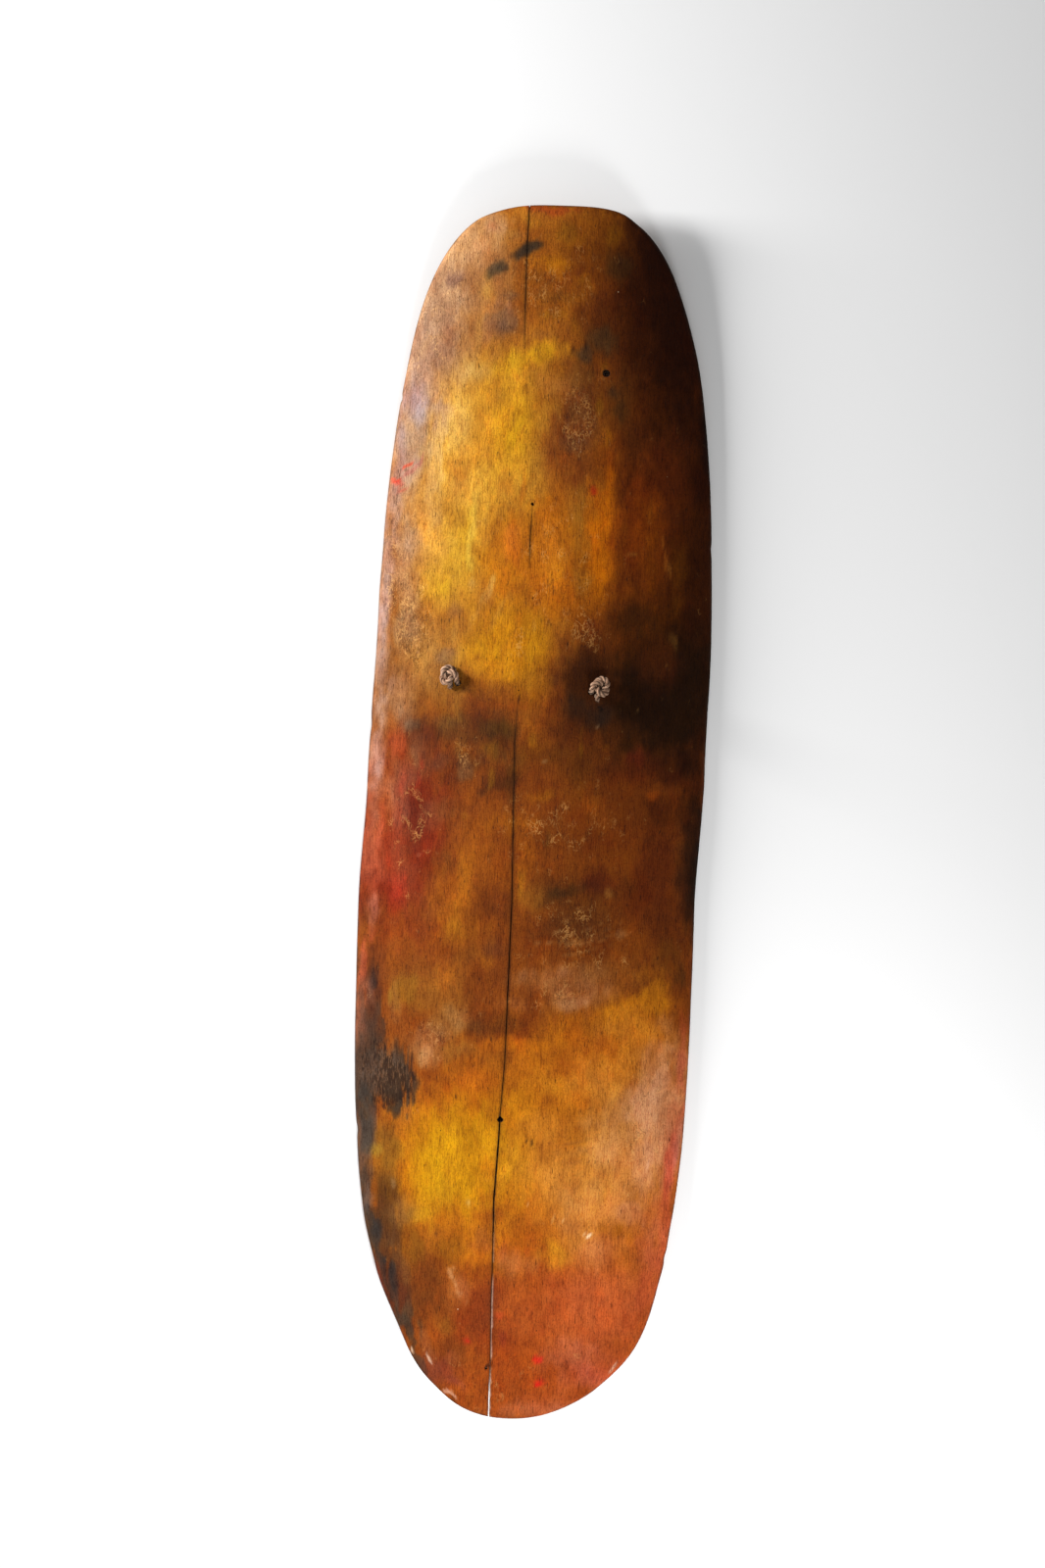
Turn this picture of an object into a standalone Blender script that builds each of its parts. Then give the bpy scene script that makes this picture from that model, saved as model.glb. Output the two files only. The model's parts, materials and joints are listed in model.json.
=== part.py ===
"""A long war shield: one arched wooden board, and one knotted rope that forms the grip behind it.

The shield lies on its back with its front up. X runs across it, Y runs along it towards its upper end,
and Z is up. The origin is on the ground, under the middle of the board. All sizes are in metres.
"""

import math
from dataclasses import dataclass

import bmesh
import bpy
from mathutils import Matrix, Vector


@dataclass(frozen=True)
class Knot:
    """One end of the rope. mirror is 1 or -1, turn is in degrees, and tail is in rope radii."""

    place: tuple[float, float]
    mirror: int
    turn: float
    tail: float


# Outline of the board, seen from the front
BOARD_LENGTH = 1.5
HALF_WIDTH = 0.2099
UPPER_END = (3.14, 3.39)  # exponents along and across: a squarer end
LOWER_END = (4.47, 2.12)  # a rounder end
UPPER_CORNER = 0.69
LOWER_CORNER = 0.63
# The middle of the board wanders a little from side to side, as (along, sideways)
MIDDLE_LINE = (
    (-0.75, -0.008),
    (-0.71, -0.002),
    (-0.65, 0.0045),
    (-0.57, -0.0015),
    (-0.5, -0.005),
    (-0.25, -0.0067),
    (-0.12, -0.0069),
    (0.05, -0.0003),
    (0.22, 0.0038),
    (0.53, 0.0046),
    (0.65, 0.002),
    (0.73, 0.0025),
    (0.75, 0.011),
)

# Section of the board
ARCH_RISE = 0.059
RIM_HEIGHT = 0.0063
END_DROP = 0.016
END_DROP_POWER = 2.6
MIDDLE_THICKNESS = 0.017
FRONT_ROUNDING = 0.006
BACK_ROUNDING = 0.004
RIM_THICKNESS = FRONT_ROUNDING + BACK_ROUNDING
FRONT_ROUNDING_STEPS = 4
BACK_ROUNDING_STEPS = 2
# The back edge is planed flat where the board lies, this far in from the outline
LAND_WIDTH = 0.0075
CELLS_ACROSS = 24
CELLS_ALONG = 40

# Holes and cracks, as places on the board
HANGING_HOLE = Vector((0.0692, 0.5433))
HANGING_HOLE_RADIUS = 0.004
HOLE_SIDES = 20
LOWER_CRACK = (
    (-0.032, -0.76, 0.0014),
    (-0.032, -0.682, 0.0012),
    (-0.034, -0.573, 0.0009),
    (-0.035, -0.475, 0.0007),
    (-0.0305, -0.381, 0.0005),
)
UPPER_CRACK = (
    (-0.0335, 0.585, 0.0004),
    (-0.034, 0.64, 0.0006),
    (-0.034, 0.7, 0.0007),
    (-0.033, 0.76, 0.0007),
)
CRACK_END_HOLE = Vector((-0.0305, -0.379))
CRACK_END_RADIUS = 0.003
UPPER_CRACK_DEPTH = 0.008

# The rope and its knots. Knot sizes are in rope radii, measured from the middle of the knot.
ROPE_RADIUS = 0.003
KNOT_RING = 2.35
KNOT_WRAP = 1.05
KNOT_LIFT = 1.15
KNOT_POINTS = 28
KNOT_END_ANGLE = math.radians(325)
KNOT_TAIL = ((1.35, -2.75, -1.15), (1.7, -4.1, -1.15))
KNOT_PLUNGE = ((3.65, -1.1, -0.9), (3.75, -1.65, -2.4))
LEFT_KNOT = Knot(place=(-0.1099, 0.1642), mirror=1, turn=-20, tail=0.8)
RIGHT_KNOT = Knot(place=(0.0735, 0.1565), mirror=-1, turn=-9, tail=1.6)
CORD_HOLE_RADIUS = 0.0037
CLEARANCE = 0.0003
GRIP = (
    (-0.1, 0.1557, 0.0205),
    (-0.091, 0.1556, 0.0126),
    (-0.072, 0.1552, 0.0091),
    (-0.046, 0.1545, 0.0079),
    (-0.019, 0.1535, 0.0076),
    (0.009, 0.1524, 0.0079),
    (0.035, 0.1514, 0.0092),
    (0.0535, 0.1504, 0.0132),
    (0.062, 0.15, 0.0225),
)
KNOT_SPACING = 0.0044
GRIP_SPACING = 0.0065
GROUND_REACH = 0.12

WOOD_COLOUR = (0.44, 0.19, 0.05, 1.0)
ROPE_COLOUR = (0.36, 0.24, 0.15, 1.0)


def clear_scene():
    for old in list(bpy.data.objects):
        bpy.data.objects.remove(old)


def make_material(name, colour, roughness):
    material = bpy.data.materials.new(name)
    material.use_nodes = True
    shader = material.node_tree.nodes["Principled BSDF"]
    shader.inputs["Base Color"].default_value = colour
    shader.inputs["Roughness"].default_value = roughness
    shader.inputs["Metallic"].default_value = 0.0
    return material


def add_object(name, data, material=None):
    made = bpy.data.objects.new(name, data)
    bpy.context.collection.objects.link(made)
    if material:
        data.materials.append(material)
    return made


def end_shape(y):
    return UPPER_END if y > 0 else LOWER_END


def middle_line(y):
    """Sideways place of the board's middle, eased between the stations of MIDDLE_LINE."""
    stations = zip(MIDDLE_LINE, MIDDLE_LINE[1:])
    for (start, here), (end, there) in stations:
        if y <= end:
            share = max(0.0, (y - start) / (end - start))
            return here + (there - here) * share * share * (3 - 2 * share)
    return MIDDLE_LINE[-1][1]


def half_width(y):
    along, across = end_shape(y)
    return HALF_WIDTH * (1 - abs(2 * y / BOARD_LENGTH) ** along) ** (1 / across)


def end_height(offset, side):
    """How far along the outline lies, at a distance sideways from the middle line."""
    along, across = end_shape(side)
    return side * BOARD_LENGTH / 2 * (1 - abs(offset / HALF_WIDTH) ** across) ** (1 / along)


def rim_nearness(x, y):
    """0 in the middle of the board and 1 on its outline."""
    along, across = end_shape(y)
    sideways = abs((x - middle_line(y)) / HALF_WIDTH) ** across
    return min(1.0, sideways + abs(2 * y / BOARD_LENGTH) ** along)


def front_height(x, y):
    sideways = (x - middle_line(y)) / HALF_WIDTH
    end_drop = END_DROP * abs(2 * y / BOARD_LENGTH) ** END_DROP_POWER
    return RIM_HEIGHT + ARCH_RISE * (1 - sideways * sideways) - end_drop


def back_height(x, y):
    thinning = (MIDDLE_THICKNESS - RIM_THICKNESS) * rim_nearness(x, y)
    return front_height(x, y) - MIDDLE_THICKNESS + thinning


def steps(start, end, count):
    return [start + (end - start) * step / count for step in range(count + 1)]


def outline_sides():
    """The outline as four runs of points: lower end, right side, upper end and left side."""

    def end_run(side, corner):
        reach = half_width(corner)
        run = []
        for offset in steps(-reach, reach, CELLS_ACROSS):
            y = end_height(offset, side)
            run.append(Vector((middle_line(y) + offset, y)))
        return run

    def side_run(side):
        heights = steps(-LOWER_CORNER, UPPER_CORNER, CELLS_ALONG)
        return [Vector((middle_line(y) + side * half_width(y), y)) for y in heights]

    return end_run(-1, -LOWER_CORNER), side_run(1), end_run(1, UPPER_CORNER), side_run(-1)


def loop_of(lower, right, upper, left):
    """The four runs joined into one loop that goes round once, counter-clockwise."""
    return lower[:-1] + right[:-1] + upper[:0:-1] + left[:0:-1]


def inset(loop, distance):
    """The loop moved inwards along its own normals."""
    moved = []
    for place, point in enumerate(loop):
        direction = (loop[(place + 1) % len(loop)] - loop[place - 1]).normalized()
        moved.append(point + distance * Vector((-direction.y, direction.x)))
    return moved


def patch(loop):
    """A grid of points that fills the loop, blended from its four sides."""
    right_start = CELLS_ACROSS
    upper_start = right_start + CELLS_ALONG
    left_start = upper_start + CELLS_ACROSS
    ring = loop + loop[:1]
    lower = ring[: right_start + 1]
    right = ring[right_start : upper_start + 1]
    upper = ring[upper_start : left_start + 1][::-1]
    left = ring[left_start:][::-1]
    rows = []
    for row, v in enumerate(steps(0, 1, CELLS_ALONG)):
        line = []
        for column, u in enumerate(steps(0, 1, CELLS_ACROSS)):
            ends = lower[column] * (1 - v) + upper[column] * v
            sides = left[row] * (1 - u) + right[row] * u
            low_corners = lower[0] * (1 - u) + lower[-1] * u
            high_corners = upper[0] * (1 - u) + upper[-1] * u
            line.append(ends + sides - low_corners * (1 - v) - high_corners * v)
        rows.append(line)
    return rows


def add_surface(mesh, rows, height):
    """Vertices and faces of one side of the board. Returns the rows of vertices."""
    made = [[mesh.verts.new((*point, height(*point))) for point in row] for row in rows]
    for low, high in zip(made, made[1:]):
        for column in range(len(low) - 1):
            mesh.faces.new((low[column], low[column + 1], high[column + 1], high[column]))
    return made


def border_of(rows):
    left = [row[0] for row in rows]
    right = [row[-1] for row in rows]
    return loop_of(rows[0], right, rows[-1], left)


def bridge(mesh, first, second):
    for place in range(len(first)):
        after = (place + 1) % len(first)
        mesh.faces.new((first[place], first[after], second[after], second[place]))


def rounded_rings(mesh, outline, radius, count, height):
    """Rings of vertices round the rim, from the outline's edge inwards."""
    rings = []
    for turn in steps(0, math.pi / 2, count):
        ring = inset(outline, radius * (1 - math.cos(turn)))
        fall = radius * (1 - math.sin(turn))
        rings.append([mesh.verts.new((*point, height(point, fall))) for point in ring])
    return rings


def front_ring_height(point, fall):
    return front_height(*point) - fall


def back_ring_height(point, fall):
    return max(0.0, back_height(*point) + fall)


def ground_back_height(x, y):
    return max(0.0, back_height(x, y))


def board_mesh():
    mesh = bmesh.new()
    outline = loop_of(*outline_sides())
    inner = patch(inset(outline, LAND_WIDTH))
    front = add_surface(mesh, inner, front_height)
    back = add_surface(mesh, inner, ground_back_height)
    over = rounded_rings(mesh, outline, FRONT_ROUNDING, FRONT_ROUNDING_STEPS, front_ring_height)
    under = rounded_rings(mesh, outline, BACK_ROUNDING, BACK_ROUNDING_STEPS, back_ring_height)[1:]
    chain = [border_of(front), *over[::-1], *under, border_of(back)]
    for first, second in zip(chain, chain[1:]):
        bridge(mesh, first, second)
    bmesh.ops.recalc_face_normals(mesh, faces=mesh.faces)
    data = bpy.data.meshes.new("shield_board")
    mesh.to_mesh(data)
    mesh.free()
    return data


def cut(target, cutter):
    """Subtracts the cutter from the target."""
    cutter.hide_render = True
    cutter.display_type = "WIRE"
    boolean = target.modifiers.new(cutter.name, "BOOLEAN")
    boolean.operation = "DIFFERENCE"
    boolean.solver = "EXACT"
    boolean.object = cutter


def hole_cutter(name, place, radius):
    mesh = bmesh.new()
    bmesh.ops.create_cone(
        mesh, cap_ends=True, segments=HOLE_SIDES, radius1=radius, radius2=radius, depth=2 * GROUND_REACH
    )
    data = bpy.data.meshes.new(name)
    mesh.to_mesh(data)
    mesh.free()
    cutter = add_object(name, data)
    cutter.location = (*place, 0)
    return cutter


def crack_cutter(name, stations, depth=None):
    """A thin upright wedge along the crack. With no depth it goes right through the board."""
    mesh = bmesh.new()
    rings = []
    for x, y, half in stations:
        bottom = -GROUND_REACH if depth is None else front_height(x, min(y, BOARD_LENGTH / 2)) - depth
        corners = ((x - half, bottom), (x + half, bottom), (x + half, GROUND_REACH), (x - half, GROUND_REACH))
        rings.append([mesh.verts.new((across, y, up)) for across, up in corners])
    for first, second in zip(rings, rings[1:]):
        bridge(mesh, first, second)
    mesh.faces.new(rings[0])
    mesh.faces.new(rings[-1])
    bmesh.ops.recalc_face_normals(mesh, faces=mesh.faces)
    data = bpy.data.meshes.new(name)
    mesh.to_mesh(data)
    mesh.free()
    return add_object(name, data)


def knot_frame(knot):
    """A frame in rope radii, level with the board's front and high enough for the knot to lie on it."""
    step = 0.001
    x, y = knot.place
    slope_x = (front_height(x + step, y) - front_height(x - step, y)) / (2 * step)
    slope_y = (front_height(x, y + step) - front_height(x, y - step)) / (2 * step)
    normal = Vector((-slope_x, -slope_y, 1)).normalized()
    across = Vector((1, 0, slope_x)).normalized()
    along = normal.cross(across)
    origin = Vector((x, y, front_height(x, y)))
    origin += normal * ((KNOT_LIFT + 1) * ROPE_RADIUS + 2 * CLEARANCE)
    axes = (across * knot.mirror * ROPE_RADIUS, along * ROPE_RADIUS, normal * ROPE_RADIUS)
    turned = Matrix.Rotation(math.radians(knot.turn), 4, "Z")
    return Matrix.Translation(origin) @ Matrix(axes).transposed().to_4x4() @ turned


def knot_points(knot):
    """An overhand knot from its tail to where it dives into its hole, as points in space."""
    frame = knot_frame(knot)
    points = [Vector(KNOT_TAIL[-1]) - Vector((0, knot.tail, 0))]
    points += [Vector(point) for point in reversed(KNOT_TAIL)]
    for angle in steps(KNOT_END_ANGLE, 0, KNOT_POINTS):
        reach = KNOT_RING + KNOT_WRAP * math.cos(3 * angle)
        rise = KNOT_LIFT * math.sin(3 * angle)
        points.append(Vector((reach * math.cos(2 * angle), reach * math.sin(2 * angle), rise)))
    points += [Vector(point) for point in KNOT_PLUNGE]
    return [frame @ point for point in points]


def curve_through(points, spacing):
    """Points about spacing apart on a smooth curve through the given points."""
    padded = [2 * points[0] - points[1], *points, 2 * points[-1] - points[-2]]
    smooth = []
    for before, start, end, after in zip(padded, padded[1:], padded[2:], padded[3:]):
        count = max(1, round((end - start).length / spacing))
        for step in range(count):
            t = step / count
            leave = (end - before) / 2
            arrive = (after - start) / 2
            smooth.append(
                (2 * t**3 - 3 * t**2 + 1) * start
                + (t**3 - 2 * t**2 + t) * leave
                + (3 * t**2 - 2 * t**3) * end
                + (t**3 - t**2) * arrive
            )
    smooth.append(points[-1])
    return smooth


def cord_hole(knot):
    """Where the rope goes straight down through the board, under the edge of its knot."""
    below = knot_frame(knot) @ Vector(KNOT_PLUNGE[-1])
    return Vector((below.x, below.y))


def hole_points(place):
    """The rope's way down through its hole, from under the front face to below the back face."""
    top = front_height(*place)
    under = back_height(*place)
    return [Vector((*place, top - 0.004)), Vector((*place, under + 0.001))]


def rope_route():
    left = knot_points(LEFT_KNOT)
    right = knot_points(RIGHT_KNOT)[::-1]
    left_down = hole_points(cord_hole(LEFT_KNOT))
    right_up = hole_points(cord_hole(RIGHT_KNOT))[::-1]
    grip = [Vector(point) for point in GRIP]
    behind = curve_through([*left_down, *grip, *right_up], GRIP_SPACING)
    return [
        *curve_through(left, KNOT_SPACING),
        *behind,
        *curve_through(right, KNOT_SPACING),
    ]


def rope_curve(points):
    data = bpy.data.curves.new("handle_cord", "CURVE")
    data.dimensions = "3D"
    data.bevel_depth = ROPE_RADIUS
    data.bevel_resolution = 2
    data.use_fill_caps = True
    spline = data.splines.new("POLY")
    spline.points.add(len(points) - 1)
    for target, point in zip(spline.points, points):
        target.co = (*point, 1)
    return data


def build():
    clear_scene()
    board = add_object("shield_board", board_mesh(), make_material("painted_wood", WOOD_COLOUR, 0.65))
    board.data.shade_smooth()
    board.data.set_sharp_from_angle(angle=math.radians(40))
    cut(board, hole_cutter("hanging_hole", HANGING_HOLE, HANGING_HOLE_RADIUS))
    cut(board, hole_cutter("left_cord_hole", cord_hole(LEFT_KNOT), CORD_HOLE_RADIUS))
    cut(board, hole_cutter("right_cord_hole", cord_hole(RIGHT_KNOT), CORD_HOLE_RADIUS))
    cut(board, hole_cutter("crack_end", CRACK_END_HOLE, CRACK_END_RADIUS))
    cut(board, crack_cutter("lower_crack", LOWER_CRACK))
    cut(board, crack_cutter("upper_crack", UPPER_CRACK, UPPER_CRACK_DEPTH))
    add_object("handle_cord", rope_curve(rope_route()), make_material("plant_fibre_rope", ROPE_COLOUR, 0.9))


build()
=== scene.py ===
"""Looks of a long war shield: an arched board of light wood with worn paint, and its knotted rope grip.

Lengths are in metres. The shield lies on its back, X across it and Y along it towards its upper end.
"""

from __future__ import annotations

import json
import logging
import math
from dataclasses import dataclass
from enum import Enum
from typing import Any, Callable

import bmesh
import bpy
import numpy as np
from mathutils import Matrix, Vector

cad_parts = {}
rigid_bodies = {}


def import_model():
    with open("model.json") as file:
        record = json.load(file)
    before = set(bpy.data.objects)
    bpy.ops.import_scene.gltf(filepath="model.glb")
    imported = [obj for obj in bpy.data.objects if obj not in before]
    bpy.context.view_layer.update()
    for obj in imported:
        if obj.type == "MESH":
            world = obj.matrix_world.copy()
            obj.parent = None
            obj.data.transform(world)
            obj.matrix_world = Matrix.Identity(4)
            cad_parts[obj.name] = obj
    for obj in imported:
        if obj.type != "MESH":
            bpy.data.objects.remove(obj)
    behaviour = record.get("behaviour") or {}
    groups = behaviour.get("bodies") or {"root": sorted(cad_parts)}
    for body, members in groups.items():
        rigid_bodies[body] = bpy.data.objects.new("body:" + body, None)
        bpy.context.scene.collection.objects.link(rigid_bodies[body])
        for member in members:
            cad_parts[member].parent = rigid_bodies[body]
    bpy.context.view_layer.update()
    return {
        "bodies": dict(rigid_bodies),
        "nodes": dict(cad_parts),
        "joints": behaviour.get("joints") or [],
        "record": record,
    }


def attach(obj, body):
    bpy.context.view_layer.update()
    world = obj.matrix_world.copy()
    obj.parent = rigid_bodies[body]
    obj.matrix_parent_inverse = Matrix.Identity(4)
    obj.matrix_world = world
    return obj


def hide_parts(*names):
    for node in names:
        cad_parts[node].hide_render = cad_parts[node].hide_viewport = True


LOG = logging.getLogger("war_shield")
MM = 0.001
TIP = 0.7499  # Just short of the board's ends.

Array = np.ndarray
Faces = list[tuple[int, ...]]
Height = Callable[[Array, Array], Array]


class Slot(Enum):
    """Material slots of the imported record."""

    WOOD = "painted_wood"
    ROPE = "plant_fibre_rope"


def coded(code: str) -> Array:
    """An sRGB hex colour, such as "c88a3c", as three numbers between 0 and 1, still in sRGB."""
    return np.array([int(code[place : place + 2], 16) / 255 for place in (0, 2, 4)])


def linear(colour: Array) -> Array:
    """Turns sRGB colours between 0 and 1 into linear light."""
    return np.where(colour <= 0.04045, colour / 12.92, ((np.maximum(colour, 0) + 0.055) / 1.055) ** 2.4)


def add_node(
    tree: bpy.types.NodeTree, kind: str, settings: dict[Any, Any], links: dict[Any, Any]
) -> bpy.types.Node:
    """Adds a shader node.

    Args:
        tree: The node tree it joins.
        kind: The node's type name without the ShaderNode prefix.
        settings: Values by property name, or by input name or number.
        links: Output sockets by input name or number.

    Returns:
        The new node.
    """
    node = tree.nodes.new("ShaderNode" + kind)
    for name, value in settings.items():
        if isinstance(name, str) and hasattr(node, name):
            setattr(node, name, value)
        else:
            node.inputs[name].default_value = value
    for name, socket in links.items():
        tree.links.new(socket, node.inputs[name])
    return node


def lattice_noise(x: Array, y: Array, seed: int) -> Array:
    """Smooth noise between -1 and 1, with one random value at each whole number.

    Args:
        x: Places across.
        y: Places along.
        seed: Which random lattice to use.

    Returns:
        One value for each place.
    """
    size = 256
    lattice = np.random.default_rng(seed).uniform(-1, 1, (size, size))
    left = np.floor(x).astype(int)
    low = np.floor(y).astype(int)
    across = x - left
    along = y - low
    across = across * across * (3 - 2 * across)
    along = along * along * (3 - 2 * along)
    corners = [[lattice[(left + i) % size, (low + j) % size] for j in (0, 1)] for i in (0, 1)]
    lower = corners[0][0] * (1 - across) + corners[1][0] * across
    upper = corners[0][1] * (1 - across) + corners[1][1] * across
    return lower * (1 - along) + upper * along


def scoops(x: Array, y: Array, seed: int) -> Array:
    """Height of a surface worked over with a round-nosed tool, one shallow scoop to each cell.

    Args:
        x: Places across, in scoop widths.
        y: Places along, in scoop lengths.
        seed: Which random layout to use.

    Returns:
        0 at the bottom of a scoop, and up to about 1 on the ridges between them.
    """
    size = 64
    shift = np.random.default_rng(seed).uniform(0.15, 0.85, (2, size, size))
    left = np.floor(x).astype(int)
    low = np.floor(y).astype(int)
    nearest = np.full(x.shape, 9.0)
    for i in (-1, 0, 1):
        for j in (-1, 0, 1):
            column = (left + i) % size
            row = (low + j) % size
            away = (left + i + shift[0][column, row] - x) ** 2 + (low + j + shift[1][column, row] - y) ** 2
            nearest = np.minimum(nearest, away)
    return nearest


def smooth_step(value: Array, start: float, end: float) -> Array:
    """Eases from 0 at start to 1 at end."""
    share = np.clip((value - start) / (end - start), 0, 1)
    return share * share * (3 - 2 * share)


@dataclass(frozen=True)
class Ripple:
    """A random unevenness: its height, the size of its waves across and along in metres, and its seed."""

    height: float
    wide: float
    long: float
    seed: int


def rippled(ripples: tuple[Ripple, ...], x: Array, y: Array) -> Array:
    """Adds up the heights of several ripples at each place.

    Args:
        ripples: The ripples.
        x: Places across the board.
        y: Places along it.

    Returns:
        One height for each place.
    """
    total = 0.0
    for ripple in ripples:
        total = total + ripple.height * lattice_noise(x / ripple.wide, y / ripple.long, ripple.seed)
    return total


@dataclass(frozen=True)
class BoardShape:
    """The carved form of the board, as functions of a place on it."""

    length: float = 1.5
    half_width: float = 0.2099
    upper_end: tuple[float, float] = (3.14, 3.39)
    lower_end: tuple[float, float] = (4.47, 2.12)
    upper_corner: float = 0.69
    lower_corner: float = 0.63
    arch_rise: float = 0.059
    rim_height: float = 0.0063
    end_drop: float = 0.016
    end_drop_power: float = 2.6
    middle_thickness: float = 0.017
    front_rounding: float = 0.006
    back_rounding: float = 0.004
    middle_line: tuple[tuple[float, float], ...] = (
        (-0.75, -0.008),
        (-0.71, -0.002),
        (-0.65, 0.0045),
        (-0.57, -0.0015),
        (-0.5, -0.005),
        (-0.25, -0.0067),
        (-0.12, -0.0069),
        (0.05, -0.0003),
        (0.22, 0.0038),
        (0.53, 0.0046),
        (0.65, 0.002),
        (0.73, 0.0025),
        (0.75, 0.011),
    )

    def middle(self, y: Array) -> Array:
        """Sideways place of the board's middle, eased between its stations.

        Args:
            y: Places along the board.

        Returns:
            The middle's X at each place.
        """
        result = np.full(np.shape(y), self.middle_line[0][1])
        for (start, here), (end, there) in zip(self.middle_line, self.middle_line[1:]):
            result = result + (there - here) * smooth_step(np.asarray(y), start, end)
        return result

    def width_at(self, y: Array) -> Array:
        """Half the board's width at a place along it.

        Args:
            y: Places along the board.

        Returns:
            Half the width at each place.
        """
        reach = np.abs(2 * np.asarray(y) / self.length)
        upper = (1 - np.minimum(reach, 1) ** self.upper_end[0]) ** (1 / self.upper_end[1])
        lower = (1 - np.minimum(reach, 1) ** self.lower_end[0]) ** (1 / self.lower_end[1])
        return self.half_width * np.where(np.asarray(y) > 0, upper, lower)

    def end_height(self, offset: Array, side: int) -> Array:
        """How far along the outline lies, at a distance sideways from the middle line."""
        along, across = self.upper_end if side > 0 else self.lower_end
        return side * self.length / 2 * (1 - np.abs(offset / self.half_width) ** across) ** (1 / along)

    def nearness(self, x: Array, y: Array) -> Array:
        """How near a place lies to the outline.

        Args:
            x: Places across the board.
            y: Places along it.

        Returns:
            0 in the middle of the board, and 1 on its outline and beyond.
        """
        sideways = np.abs((x - self.middle(y)) / self.half_width)
        reach = np.abs(2 * y / self.length)
        upper = sideways ** self.upper_end[1] + reach ** self.upper_end[0]
        lower = sideways ** self.lower_end[1] + reach ** self.lower_end[0]
        return np.minimum(np.where(y > 0, upper, lower), 1.0)

    def front(self, x: Array, y: Array) -> Array:
        """Height of the front face before it is worked over.

        Args:
            x: Places across the board.
            y: Places along it.

        Returns:
            One height for each place.
        """
        sideways = (x - self.middle(y)) / self.half_width
        drop = self.end_drop * np.abs(2 * y / self.length) ** self.end_drop_power
        return self.rim_height + self.arch_rise * (1 - sideways**2) - drop

    def back(self, x: Array, y: Array) -> Array:
        """Height of the back face before it is worked over.

        Args:
            x: Places across the board.
            y: Places along it.

        Returns:
            One height for each place.
        """
        rim_thickness = self.front_rounding + self.back_rounding
        thinning = (self.middle_thickness - rim_thickness) * self.nearness(x, y)
        return self.front(x, y) - self.middle_thickness + thinning


@dataclass(frozen=True)
class Dab:
    """One touch of old paint, stain or wear. Places and sizes are in millimetres, and turn is in degrees.

    soft is the share of its reach over which it fades out, and dry is how far the grain breaks it up.
    """

    x: float
    y: float
    wide: float
    tall: float
    code: str
    strength: float = 1.0
    turn: float = 0.0
    soft: float = 0.9
    dry: float = 0.3


@dataclass(frozen=True)
class PaintedFace:
    """The colours of the front: rubbed earth paints in broad clouds, with stains and wear over them."""

    ground: str
    dabs: tuple[Dab, ...]
    unevenness: float = 0.085
    sideways_sway: tuple[Ripple, ...] = (Ripple(1, 0.03, 0.045, 60), Ripple(0.5, 0.011, 0.02, 61))
    lengthwise_sway: tuple[Ripple, ...] = (Ripple(1, 0.026, 0.04, 62), Ripple(0.4, 0.008, 0.022, 63))
    grain: tuple[Ripple, ...] = (Ripple(1, 0.0036, 0.034, 70), Ripple(0.6, 0.0075, 0.08, 71))
    glaze: tuple[Ripple, ...] = (Ripple(1, 0.021, 0.034, 64), Ripple(0.8, 0.0095, 0.017, 65))

    def noise_fields(self, x: Array, y: Array) -> list[Array]:
        """Four unlike noises of slow clouds with finer raggedness, all drawn out along the grain.

        Args:
            x: Places across the board.
            y: Places along it.

        Returns:
            The four noises at each place.
        """
        fields = []
        for seed in range(40, 44):
            cloud = lattice_noise(x / 0.042, y / 0.056, seed)
            curl = lattice_noise(x / 0.014, y / 0.021, seed + 10)
            brush = lattice_noise(x / 0.0056, y / 0.011, seed + 20)
            fields.append(0.5 * cloud + 0.38 * curl + 0.48 * brush)
        return fields

    def colour_at(self, x: Array, y: Array) -> Array:
        """Mixes the dabs in their order.

        Args:
            x: Places across the board.
            y: Places along it.

        Returns:
            Red, green and blue at each place, in sRGB.
        """
        sway = rippled(self.sideways_sway, x, y)
        reach = rippled(self.lengthwise_sway, x, y)
        x, y = x + 4 * MM * sway, y + 4.5 * MM * reach
        fields = self.noise_fields(x, y)
        grain = rippled(self.grain, x, y)
        colour = np.zeros((*np.shape(x), 3)) + coded(self.ground)
        for number, dab in enumerate(self.dabs):
            lean = math.radians(dab.turn)
            across = (x / MM - dab.x) * math.cos(lean) + (y / MM - dab.y) * math.sin(lean)
            along = (y / MM - dab.y) * math.cos(lean) - (x / MM - dab.x) * math.sin(lean)
            mix = 2.4 * number
            noise = fields[number % 4] * math.cos(mix) + fields[(number + 1) % 4] * math.sin(mix)
            size = min(dab.wide, dab.tall)
            ragged = 0.42 * min(1.0, 26 / size) + 0.14
            reach = np.hypot(2 * across / dab.wide, 2 * along / dab.tall) + ragged * noise
            mask = smooth_step(1 - reach, 0.0, dab.soft)
            broken = smooth_step(mask + 0.55 * dab.dry * grain, 0.5 * dab.dry, 1 - 0.5 * dab.dry)
            share = dab.strength * (mask * (1 - dab.dry) + broken * mask * dab.dry)
            colour += share[..., None] * (coded(dab.code) - colour)
        glaze = rippled(self.glaze, x, y)[..., None]
        return colour * (1 + self.unevenness * glaze * np.array([0.8, 1.15, 1.3]))


def set_colours(mesh: bpy.types.Mesh, name: str, colour: Array) -> None:
    """Gives each vertex of a mesh a colour, under a name that materials read."""
    rgba = np.concatenate([colour, np.ones((len(colour), 1))], 1).astype(np.float32)
    mesh.attributes.new(name, "FLOAT_COLOR", "POINT").data.foreach_set("color", rgba.reshape(-1))


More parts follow.
